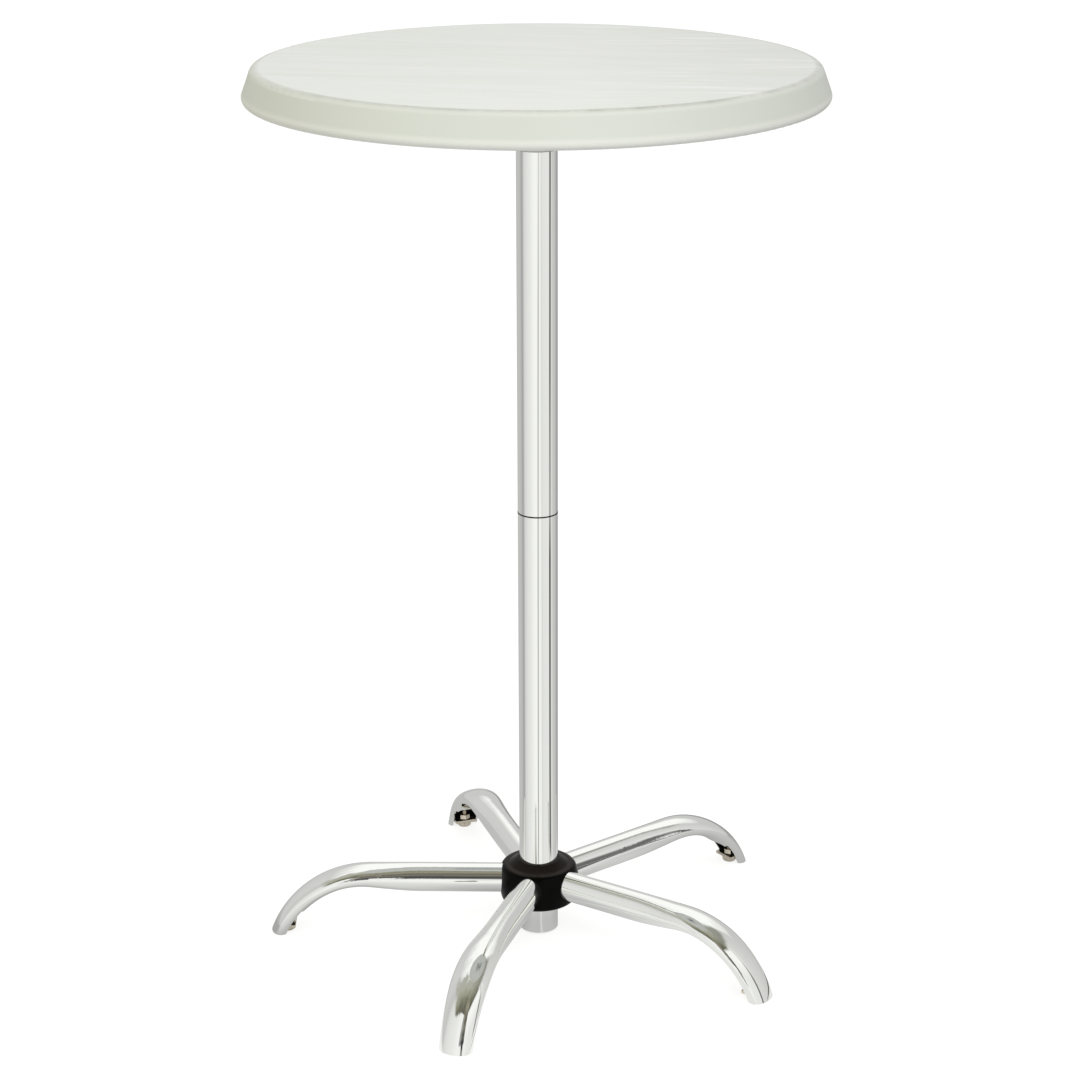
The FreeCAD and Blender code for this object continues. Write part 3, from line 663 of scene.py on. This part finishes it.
class BARTABLE_OT_legs(bpy.types.Operator):
    """Plate the outside of the leg tubes and leave their bores dark"""
    bl_idname = "bartable.legs"
    bl_label = "Legs"

    def execute(self, context):
        finish = context.scene.bartable_metal
        materials = [bpy.data.materials["chrome"], bore_material(finish)]
        line = context.scene.bartable_leg
        for number, direction in zip(LEGS, leg_directions(context)):
            tube = cad_copy(f"leg_{number}")
            settle(tube, f"leg_tube_{number}", materials, "base", f"leg_{number}")
            inward = Matrix.Rotation(-direction, 3, "Z")
            for face in tube.data.polygons:
                face.material_index = int(self.in_bore(line, inward @ face.center, inward @ face.normal))
        return {"FINISHED"}

    def in_bore(self, line, spot, normal):
        """True for a face that looks towards the middle line of the leg."""
        level = Matrix.Rotation(line.rise, 3, "Y")
        foot = Vector((0, 0, line.height))
        spot = level @ (spot - foot) + foot
        normal = level @ normal
        if spot.x <= line.straight:
            centre = Vector((spot.x, 0, line.height))
        else:
            dip = atan2(spot.x - line.straight, spot.z - line.height + line.bend)
            centre = Vector((line.straight + line.bend * sin(dip), 0,
                             line.height - line.bend + line.bend * cos(dip)))
        away = (spot - centre).normalized()
        return away.dot(normal) < -0.2


class BARTABLE_OT_feet(bpy.types.Operator):
    """Model the glides with their threaded studs and ease the edges of the foot brackets"""
    bl_idname = "bartable.feet"
    bl_label = "Feet"

    def execute(self, context):
        hardware = context.scene.bartable_hardware
        nickel = plated_material("nickel", context.scene.bartable_metal.nickel, 0.14)
        radius = hardware.glide / 2
        height = hardware.glide_height
        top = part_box("glide_1")[1].z
        stud = hardware.glide_stud / 2 - 0.0001
        dome = [(0, 0), (0.70, 0), (0.84, 0.03), (0.94, 0.14), (0.99, 0.29), (1.0, 0.42), (0.985, 0.62), (0.93, 0.8),
                (0.84, 0.93), (0.72, 0.985), (0.58, 1.0)]
        profile = [(radius * a, height * b) for a, b in dome]
        profile += thread(stud, height, top - 0.001, hardware.thread)
        profile += [(stud - 0.0012, top), (0, top)]
        places = [Matrix.Translation((middle_of(f"glide_{k}").x, middle_of(f"glide_{k}").y, 0)) for k in LEGS]
        settle_copies(turned(profile, 36), "levelling_glide", [nickel], [f"foot_{k}" for k in LEGS],
                      [f"glide_{k}" for k in LEGS], places)
        for k in LEGS:
            bracket = eased_copy(f"foot_bracket_{k}", 0.0004)
            settle(bracket, f"foot_plate_{k}", [nickel], "base", f"foot_bracket_{k}")
        return {"FINISHED"}


class BARTABLE_OT_screws(bpy.types.Operator):
    """Model the cross-headed screws, the set screws and the lock screw"""
    bl_idname = "bartable.screws"
    bl_label = "Screws"

    def execute(self, context):
        hardware = context.scene.bartable_hardware
        zinc = [zinc_material(context)]
        self.plate_screws(hardware, zinc)
        self.leg_screws(context, hardware, zinc)
        self.set_screws(hardware, zinc)
        self.lock_screw(hardware, zinc)
        return {"FINISHED"}

    def plate_screws(self, hardware, zinc):
        """Six screws up through the hinge plate, each turned to its own angle."""
        low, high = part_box("plate_screws")
        seat = low.z + hardware.plate_screw_height
        reach = high.x - hardware.plate_screw_head / 2
        screw = cross_screw(hardware.plate_screw_head, hardware.plate_screw_height, hardware.plate_screw_shank,
                            high.z - seat)
        places = []
        for i in (-1, 1):
            for j in (-1, 0, 1):
                spin = Matrix.Rotation(0.9 * i + 0.7 * j, 4, "Z")
                places.append(Matrix.Translation((i * reach, j * reach, seat)) @ HEAD_DOWN @ spin)
        settle_copies(screw, "plate_screw", zinc, ["top"] * 6, ["plate_screws"] * 6, places)

    def leg_screws(self, context, hardware, zinc):
        """One screw up through the hub into each leg."""
        low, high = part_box("leg_screws")
        seat = low.z + hardware.leg_screw_height
        screw = cross_screw(hardware.leg_screw_head, hardware.leg_screw_height, hardware.leg_screw_shank,
                            high.z - seat)
        reach = -low.x - hardware.leg_screw_head / 2
        places = []
        for direction in leg_directions(context):
            spot = (reach * cos(direction), reach * sin(direction), seat)
            spin = Matrix.Rotation(2.3 * direction, 4, "Z")
            places.append(Matrix.Translation(spot) @ HEAD_DOWN @ spin)
        settle_copies(screw, "leg_screw", zinc, ["base"] * 5, ["leg_screws"] * 5, places)

    def set_screws(self, hardware, zinc):
        """Socket set screws in the collar."""
        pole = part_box("lower_tube")[1].x
        run = hardware.set_screw_face - pole
        radius = hardware.set_screw / 2
        screw = turned([
            (0, 0), (radius - 0.0005, 0), (radius, 0.0005), (radius, run - 0.0004), (radius - 0.0004, run), (0, run)])
        socket_depth = 0.0022
        combine(screw, rod(6, 0.55 * radius, run - socket_depth, run + OVERCUT), "DIFFERENCE")
        outward = lying_along_x(0, middle_of("hub_set_screws").z) @ Matrix.Translation((0, 0, pole))
        places = [Matrix.Rotation(radians(a), 4, "Z") @ outward for a in (72, 144)]
        settle_copies(screw, "set_screw", zinc, ["base"] * 2, ["hub_set_screws"] * 2, places)

    def lock_screw(self, hardware, zinc):
        """Button-headed socket screw at the back of the pole."""
        low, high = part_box("head_screw")
        seat = high.y - hardware.lock_screw_height
        head = hardware.lock_screw_head / 2
        height = hardware.lock_screw_height
        shank = hardware.lock_screw_shank / 2
        run = seat - low.y
        screw = turned([
            (0, -run), (shank - CHAMFER, -run), (shank, -run + CHAMFER), (shank, 0), (head, 0), (head, 0.2 * height),
            (0.9 * head, 0.55 * height), (0.72 * head, 0.84 * height), (0.5 * head, height), (0, height)])
        combine(screw, rod(6, 0.42 * head, 0.3 * height, height + OVERCUT), "DIFFERENCE")
        place = Matrix.Translation((0, seat, middle_of("head_screw").z)) @ Matrix.Rotation(-pi / 2, 4, "X")
        settle(screw, "lock_screw", zinc, "base", "head_screw", place)


class BARTABLE_OT_hinge(bpy.types.Operator):
    """Model the pivot bolt and its lock nut, and finish the hinge plate and the cast head"""
    bl_idname = "bartable.hinge"
    bl_label = "Tilting hinge"

    def execute(self, context):
        hardware = context.scene.bartable_hardware
        finish = context.scene.bartable_metal
        zinc = [zinc_material(context)]
        self.pivot_bolt(hardware, zinc)
        self.pivot_nut(hardware, zinc)
        plate = eased_copy("hinge_plate", 0.0006)
        settle(plate, "hinge_plate_eased", zinc, "top", "hinge_plate")
        self.weld_beads(hardware, zinc)
        head = eased_copy("column_head", 0.0012, 3)
        cast = plated_material("cast", finish.cast, 0.42, 420.0)
        settle(head, "cast_head", [cast], "base", "column_head")
        return {"FINISHED"}

    def pivot_bolt(self, hardware, zinc):
        """Hexagon bolt with a thread at its nut's end."""
        low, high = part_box("pivot_bolt")
        radius = hardware.pivot / 2
        seat = low.x + hardware.pivot_head
        root = seat - 0.0004
        thread_start = high.x - 0.012
        bolt = turned(
            [(0, root), (radius, root), (radius, thread_start)]
            + thread(radius, thread_start, high.x - 0.001, hardware.thread)
            + [(radius - 0.0012, high.x), (0, high.x)])
        head = hexagon_head(hardware.pivot_flats, -seat, -low.x)
        head.matrix_world = HEAD_DOWN
        choose(head)
        bpy.ops.object.transform_apply()
        combine(bolt, head, "UNION")
        spot = middle_of("pivot_bolt")
        settle(bolt, "hinge_bolt", zinc, "base", "pivot_bolt", lying_along_x(spot.y, spot.z))

    def pivot_nut(self, hardware, zinc):
        """Hexagon nut with a turned collar at its outer end."""
        low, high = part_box("pivot_nut")
        body_end = high.x - 0.0022
        nut = hexagon_head(hardware.pivot_flats, low.x, body_end)
        collar = 0.45 * hardware.pivot_flats
        ring = turned([
            (0, body_end - OVERCUT), (collar, body_end - OVERCUT), (collar, high.x - 0.0009),
            (collar - 0.0005, high.x - 0.0002), (collar - 0.0011, high.x), (0, high.x)], 48)
        combine(nut, ring, "UNION")
        bore = rod(32, hardware.pivot / 2 + CLEARANCE, low.x - OVERCUT, high.x + OVERCUT)
        combine(nut, bore, "DIFFERENCE")
        spot = middle_of("pivot_nut")
        settle(nut, "hinge_lock_nut", zinc, "base", "pivot_nut", lying_along_x(spot.y, spot.z))

    def weld_beads(self, hardware, zinc):
        """Rippled fillet along the outer face of each hinge ear, under the plate."""
        radius = hardware.bead / 2
        pitch = 0.0018
        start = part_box("pivot_washers")[0].y - 0.022
        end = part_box("pivot_washers")[1].y
        begin()
        bpy.ops.mesh.primitive_uv_sphere_add(segments=16, ring_count=10, radius=radius)
        ripple = bpy.context.object
        ripple.scale = (1.0, 0.75, 1.0)
        ripple.rotation_euler.x = radians(35)
        bpy.ops.object.transform_apply()
        row = ripple.modifiers.new("row", "ARRAY")
        row.count = int((end - start) / pitch)
        row.use_relative_offset = False
        row.use_constant_offset = True
        row.constant_offset_displace = (0, pitch, 0)
        bpy.ops.object.modifier_apply(modifier=row.name)
        fuse = ripple.modifiers.new("fuse", "REMESH")
        fuse.mode = "VOXEL"
        fuse.voxel_size = 0.00035
        bpy.ops.object.modifier_apply(modifier=fuse.name)
        ease = ripple.modifiers.new("ease", "SMOOTH")
        ease.iterations = 3
        bpy.ops.object.modifier_apply(modifier=ease.name)
        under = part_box("plate_screws")[0].z + hardware.plate_screw_height
        places = [Matrix.Translation((side * hardware.ear_face, start, under)) for side in (-1, 1)]
        settle_copies(ripple, "hinge_weld", zinc, ["top"] * 2, [None] * 2, places)


class BARTABLE_OT_knob(bpy.types.Operator):
    """Model the star knob"""
    bl_idname = "bartable.knob"
    bl_label = "Star knob"

    def execute(self, context):
        hardware = context.scene.bartable_hardware
        low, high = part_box("star_knob")
        grip = low.x + hardware.knob_boss
        radius = hardware.knob / 2
        knob = rod(80, radius, grip, high.x)
        for k in range(hardware.knob_lobes):
            scallop = rod(40, 0.4 * radius, grip - OVERCUT, high.x + OVERCUT)
            turn = 2 * pi * k / hardware.knob_lobes
            scallop.location = (1.2 * radius * cos(turn), 1.2 * radius * sin(turn), 0)
            combine(knob, scallop, "DIFFERENCE")
        soften(knob, 0.0024, 4, radians(30))
        neck = hardware.knob_boss_width / 2
        boss = turned([
            (0, low.x), (neck - 0.0008, low.x), (neck, low.x + 0.0008), (neck, grip - 0.001),
            (neck + 0.001, grip + 0.0006), (0, grip + 0.0006)], 48)
        combine(knob, boss, "UNION")
        dish = turned([
            (0, high.x - 0.0006), (0.42 * radius, high.x - 0.0004), (0.47 * radius, high.x + 0.0004),
            (0, high.x + OVERCUT)], 48)
        combine(knob, dish, "DIFFERENCE")
        near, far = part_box("knob_insert")
        pocket = rod(48, (far.y - near.y) / 2 + CLEARANCE, low.x - OVERCUT, far.x)
        combine(knob, pocket, "DIFFERENCE")
        spot = middle_of("knob_insert")
        plastic = black_plastic_material("knob_plastic", context.scene.bartable_plastic.fitting, 0.4, 0.4)
        settle(knob, "tilt_knob", [plastic], "knob", "star_knob", lying_along_x(spot.y, spot.z))
        return {"FINISHED"}


def floor_bands(tree, place):
    """Brightness of the studio floor as the metal mirrors it, by the level direction from the pole and the distance.

    A bright sheet lies in front, with a narrow gap for the camera, and a dark flag crosses it on the right.
    The back half is about a stop darker, and so is the floor close under the table."""
    axes = axes_of(tree, place)
    turn = compass(tree, axes)
    reach = reach_of(tree, axes)
    sheet = bands(tree, turn, (
        (-150, 0.52), (-126, 0.54), (-108, 0.50), (-97, 0.40), (-89, 0.39), (-80, 0.66), (-60, 0.77), (-42, 0.82),
        (-30, 0.89), (-12, 0.95), (10, 0.90), (17, 0.89), (23, 0.70), (28, 0.79), (62, 0.81), (84, 0.72), (96, 0.58),
        (108, 0.57), (120, 0.50), (132, 0.40), (141, 0.35)))
    gap_turn = maths(tree, "SUBTRACT", turn, maths(tree, "MULTIPLY", reach, 2.0))
    gap = product(tree, bands(tree, gap_turn, ((-6.0, 0.0), (-4.2, 1.0), (-0.8, 1.0), (1.5, 0.0))),
                  bands(tree, reach, ((3.2, 1.0), (5.0, 0.6))))
    sheet = blend(tree, gap, sheet, (0.38, 0.38, 0.38, 1.0))
    flag_turn = maths(tree, "SUBTRACT", turn, bands(tree, reach, ((0.5, 0.0), (3.5, 4.0), (5.5, 6.0))))
    flag = bands(tree, flag_turn, ((64.5, 0.0), (66.5, 1.0), (75.5, 1.0), (78.5, 0.0)))
    flag_shade = bands(tree, reach, (
        (0.25, 0.15), (1.5, 0.07), (1.75, 0.34), (2.3, 0.26), (2.8, 0.14), (4.0, 0.16)))
    sheet = blend(tree, flag, sheet, flag_shade)
    near = bands(tree, turn, (
        (-105, 0.42), (-88, 0.38), (-60, 0.46), (-30, 0.51), (4, 0.50), (8, 0.66), (13, 0.64), (17, 0.52), (60, 0.51),
        (105, 0.45)))
    near = blend(tree, bands(tree, reach, ((0.06, 0.0), (0.2, 0.45))), near, WHITE)
    return blend(tree, bands(tree, reach, ((0.12, 0.0), (0.26, 1.0))), near, sheet)


def room_bands(tree, way):
    """Brightness of the studio above the floor as the metal mirrors it.

    The walls are pale, brighter in front, with a dark flag on the right and the dark camera stand in front.
    The ceiling is dim over the front, and a white sheet hangs over the back. Places on the ceiling, which is level,
    are across and along; their waver keeps its edges from running dead straight."""
    axes = axes_of(tree, way)
    turn = compass(tree, axes)
    rise = degrees(tree, maths(tree, "ARCSINE", axes["Z"]))
    height = maths(tree, "MAXIMUM", axes["Z"], 0.02)
    waver = maths(tree, "MULTIPLY", maths(tree, "SUBTRACT", noise(tree, way, 5.0, 2.0), 0.5), 0.5)
    across = maths(tree, "ADD", maths(tree, "DIVIDE", axes["X"], height), waver)
    along = maths(tree, "ADD", maths(tree, "DIVIDE", axes["Y"], height), waver)
    walls = bands(tree, turn, (
        (-180, 0.60), (-160, 0.60), (-120, 0.63), (-105, 0.61), (-92, 0.56), (-78, 0.72), (-60, 0.79), (-40, 0.83),
        (-22, 0.92), (0, 0.90), (8, 0.90), (30, 0.82), (64, 0.81), (66.5, 0.14), (71.5, 0.15), (74, 0.71),
        (110, 0.64), (140, 0.58), (180, 0.60)))
    glow = product(tree, bands(tree, turn, ((6, 0.0), (9, 1.0), (66, 1.0), (84, 0.0))),
                   bands(tree, rise, ((24, 0.0), (44, 0.75))))
    room = blend(tree, glow, walls, WHITE)
    # The dim part's edges run askew: its back edge comes furthest forward a little left of the middle.
    aside = maths(tree, "ABSOLUTE", maths(tree, "ADD", across, 0.25))
    back = maths(tree, "SUBTRACT", along, maths(tree, "MULTIPLY", aside, 0.6))
    right = maths(tree, "SUBTRACT", across, maths(tree, "MULTIPLY", along, 0.8))
    front = maths(tree, "ADD", along, maths(tree, "MULTIPLY", across, 0.32))
    dim = product(tree, bands(tree, across, ((-1.0, 0.0), (-0.78, 1.0), (0.48, 1.0), (0.62, 0.0))),
                  bands(tree, right, ((0.69, 1.0), (0.83, 0.0))), bands(tree, front, ((-0.90, 0.0), (-0.79, 1.0))),
                  bands(tree, back, ((-0.04, 1.0), (0.1, 0.0))))
    ceiling = bands(tree, along, (
        (-0.68, (0.12, 0.12, 0.09)), (-0.5, (0.17, 0.165, 0.125)), (-0.35, (0.29, 0.285, 0.22)),
        (-0.15, (0.42, 0.42, 0.35)), (0.05, (0.44, 0.44, 0.39))))
    ceiling = blend(tree, bands(tree, across, ((0.0, 0.0), (0.35, 0.35))), ceiling, (0.0, 0.0, 0.0, 1.0))
    room = blend(tree, dim, room, ceiling)
    sheet = product(tree, bands(tree, across, ((-0.75, 0.05), (-0.5, 0.45), (-0.3, 0.85), (-0.2, 1.0))),
                    bands(tree, across, ((0.48, 1.0), (0.6, 0.8), (0.9, 0.5), (1.15, 0.1), (1.3, 0.0))),
                    bands(tree, back, ((0.03, 0.0), (0.15, 1.0))),
                    bands(tree, along, ((1.7, 1.0), (2.1, 0.75), (2.7, 0.0))))
    room = blend(tree, sheet, room, WHITE)
    post = product(tree, bands(tree, turn, ((-5.5, 0.0), (-4.0, 1.0), (3.0, 1.0), (4.5, 0.0))),
                   bands(tree, rise, ((6.5, 0.0), (8.5, 1.0), (20, 1.0), (23, 0.0))))
    foot = product(tree, bands(tree, turn, ((-14, 0.0), (-12, 0.6), (-5.5, 0.6), (-4.5, 0.0))),
                   bands(tree, rise, ((7.0, 0.0), (8.5, 1.0), (11, 1.0), (12.5, 0.0))))
    head = product(tree, bands(tree, turn, (
        (-16.5, 0.0), (-13.5, 0.75), (-9, 0.75), (-5, 1.0), (6.0, 1.0), (7.5, 0.0))),
                   bands(tree, rise, ((18.5, 0.0), (21, 1.0), (60, 1.0), (68, 0.0))))
    dark = bands(tree, rise, (
        (8, 0.10), (13, 0.28), (16, 0.07), (19, 0.02), (23, 0.05), (27, (0.15, 0.147, 0.135)),
        (30, (0.10, 0.097, 0.085)), (37, (0.23, 0.22, 0.185)), (44, (0.14, 0.125, 0.10)),
        (51, (0.20, 0.185, 0.15)), (58, (0.32, 0.30, 0.235))))
    stand = maths(tree, "MAXIMUM", maths(tree, "MAXIMUM", post, foot), head)
    return blend(tree, stand, room, dark)


class BARTABLE_OT_stage(bpy.types.Operator):
    """Set the floor, the light and the camera"""
    bl_idname = "bartable.stage"
    bl_label = "Studio"

    def execute(self, context):
        studio = context.scene.bartable_studio
        context.scene.view_settings.view_transform = "Standard"
        self.add_floor(studio)
        self.light_world(context.scene, studio)
        self.add_softbox(studio)
        self.add_camera(context.scene, studio)
        return {"FINISHED"}

    def add_floor(self, studio):
        """Square floor."""
        begin()
        bpy.ops.mesh.primitive_plane_add(size=studio.floor_size, location=(0, 0, 0))
        floor = bpy.context.object
        floor.name = "studio_floor"
        floor.data.materials.append(self.floor_material())

    def floor_material(self):
        """White floor: shaded and lifted to white for the camera, banded in reflections, and a glow on all else.

        From below it is clear, so that the underside of the table can be seen."""
        material, tree, shader = new_material("studio_floor")
        tree.nodes.remove(shader)
        path = add_node(tree, "ShaderNodeLightPath")
        place = add_node(tree, "ShaderNodeTexCoord").outputs["Object"]
        lit = add_node(tree, "ShaderNodeEmission", {"Color": WHITE, "Strength": 0.62})
        shade = add_node(tree, "ShaderNodeBsdfDiffuse", {"Color": (0.28, 0.28, 0.28, 1)})
        white = add_node(tree, "ShaderNodeEmission", {"Color": WHITE, "Strength": 0.83})
        seen = add_node(tree, "ShaderNodeAddShader", {0: shade.outputs[0], 1: white.outputs[0]})
        direct = add_node(tree, "ShaderNodeMixShader", {
            0: path.outputs["Is Camera Ray"], 1: lit.outputs[0], 2: seen.outputs[0]})
        banded = add_node(tree, "ShaderNodeEmission", {"Color": floor_bands(tree, place)})
        mirrored = add_node(tree, "ShaderNodeMixShader", {
            0: path.outputs["Is Glossy Ray"], 1: direct.outputs[0], 2: banded.outputs[0]})
        below = add_node(tree, "ShaderNodeNewGeometry").outputs["Backfacing"]
        clear = add_node(tree, "ShaderNodeBsdfTransparent")
        sided = add_node(tree, "ShaderNodeMixShader", {0: below, 1: mirrored.outputs[0], 2: clear.outputs[0]})
        link(tree, sided.outputs[0], tree.nodes["Material Output"], "Surface")
        return material

    def light_world(self, scene, studio):
        """White for the camera, banded in reflections, and soft light on all else.

        The soft light comes mostly from above. From the far left and right it is dimmer and yellowish."""
        world = bpy.data.worlds.new("studio")
        world.use_nodes = True
        scene.world = world
        tree = world.node_tree
        path = add_node(tree, "ShaderNodeLightPath")
        way = add_node(tree, "ShaderNodeTexCoord").outputs["Generated"]
        axes = axes_of(tree, way)
        far_left, far_right = (0.52, 0.50, 0.05), (0.44, 0.44, 0.28)
        across = maths(tree, "ADD", maths(tree, "MULTIPLY", axes["X"], 0.5), 0.5)
        tint = ramp(tree, across, ((0.0, far_left), (0.45, 1.0), (0.6, 1.0), (1.0, far_right)))
        tint = blend(tree, bands(tree, axes["Z"], ((0.35, 0.0), (0.85, 1.0))), tint, WHITE)
        height = maths(tree, "ADD", maths(tree, "MULTIPLY", axes["Z"], 0.90), 0.76)
        strength = maths(tree, "MULTIPLY", height, studio.sky)
        soft = add_node(tree, "ShaderNodeBackground", {"Color": tint, "Strength": strength})
        room = add_node(tree, "ShaderNodeBackground", {"Color": room_bands(tree, way)})
        white = add_node(tree, "ShaderNodeBackground", {"Color": WHITE})
        mirrored = add_node(tree, "ShaderNodeMixShader", {
            0: path.outputs["Is Glossy Ray"], 1: soft.outputs[0], 2: room.outputs[0]})
        mixed = add_node(tree, "ShaderNodeMixShader", {
            0: path.outputs["Is Camera Ray"], 1: mirrored.outputs[0], 2: white.outputs[0]})
        link(tree, mixed.outputs[0], tree.nodes["World Output"], "Surface")

    def add_softbox(self, studio):
        """Soft lamp in front and above, turned to the table and left out of the reflections."""
        lamp = bpy.data.lights.new("softbox", "AREA")
        lamp.shape = "RECTANGLE"
        lamp.size = 1.8
        lamp.size_y = 1.2
        lamp.energy = studio.key
        softbox = bpy.data.objects.new("softbox", lamp)
        place = Vector((0.5, -1.9, 2.8))
        target = Vector((0, 0, 0.9))
        softbox.location = place
        softbox.rotation_euler = (target - place).to_track_quat("-Z", "Y").to_euler()
        softbox.visible_glossy = False
        bpy.context.scene.collection.objects.link(softbox)

    def add_camera(self, scene, studio):
        """Camera at the photograph's viewing angle."""
        camera = bpy.data.objects.new("camera", bpy.data.cameras.new("camera"))
        camera.data.lens = studio.lens
        camera.data.sensor_width = 36.0
        camera.location = (studio.distance * sin(studio.turn), -studio.distance * cos(studio.turn), studio.height)
        sight = Euler((pi / 2 - studio.dip, 0, studio.turn + studio.aim)).to_matrix()
        camera.rotation_euler = (sight @ Matrix.Rotation(studio.roll, 3, "Z")).to_euler()
        scene.collection.objects.link(camera)
        scene.camera = camera


GROUPS = {
    "bartable_top": TopFinish,
    "bartable_metal": MetalFinish,
    "bartable_plastic": PlasticFinish,
    "bartable_leg": LegSizes,
    "bartable_hardware": HardwareSizes,
    "bartable_studio": StudioSettings,
}
OPERATORS = (
    BARTABLE_OT_top_finish,
    BARTABLE_OT_metal_finish,
    BARTABLE_OT_plastic_finish,
    BARTABLE_OT_seam,
    BARTABLE_OT_legs,
    BARTABLE_OT_feet,
    BARTABLE_OT_screws,
    BARTABLE_OT_hinge,
    BARTABLE_OT_knob,
    BARTABLE_OT_stage,
)


class BARTABLE_PT_panel(bpy.types.Panel):
    """Pieces and finishes of the bar table"""
    bl_idname = "BARTABLE_PT_panel"
    bl_label = "Bar table"
    bl_space_type = "VIEW_3D"
    bl_region_type = "UI"
    bl_category = "Bar table"

    def draw(self, context):
        for name, group in GROUPS.items():
            box = self.layout.box()
            for prop in group.__annotations__:
                box.prop(getattr(context.scene, name), prop)
        for operator in OPERATORS:
            self.layout.operator(operator.bl_idname)


CLASSES = (*GROUPS.values(), *OPERATORS, BARTABLE_PT_panel)


def register():
    """Register the classes and hang the settings on the scene."""
    for cls in CLASSES:
        bpy.utils.register_class(cls)
    for name, group in GROUPS.items():
        setattr(bpy.types.Scene, name, PointerProperty(type=group))


def unregister():
    """Take the settings and the classes away again."""
    for name in GROUPS:
        delattr(bpy.types.Scene, name)
    for cls in reversed(CLASSES):
        bpy.utils.unregister_class(cls)


def main():
    """Make all the pieces and the stage."""
    register()
    bpy.ops.bartable.top_finish()
    bpy.ops.bartable.metal_finish()
    bpy.ops.bartable.plastic_finish()
    bpy.ops.bartable.seam()
    bpy.ops.bartable.legs()
    bpy.ops.bartable.feet()
    bpy.ops.bartable.screws()
    bpy.ops.bartable.hinge()
    bpy.ops.bartable.knob()
    bpy.ops.bartable.stage()


if __name__ == "__main__":
    main()
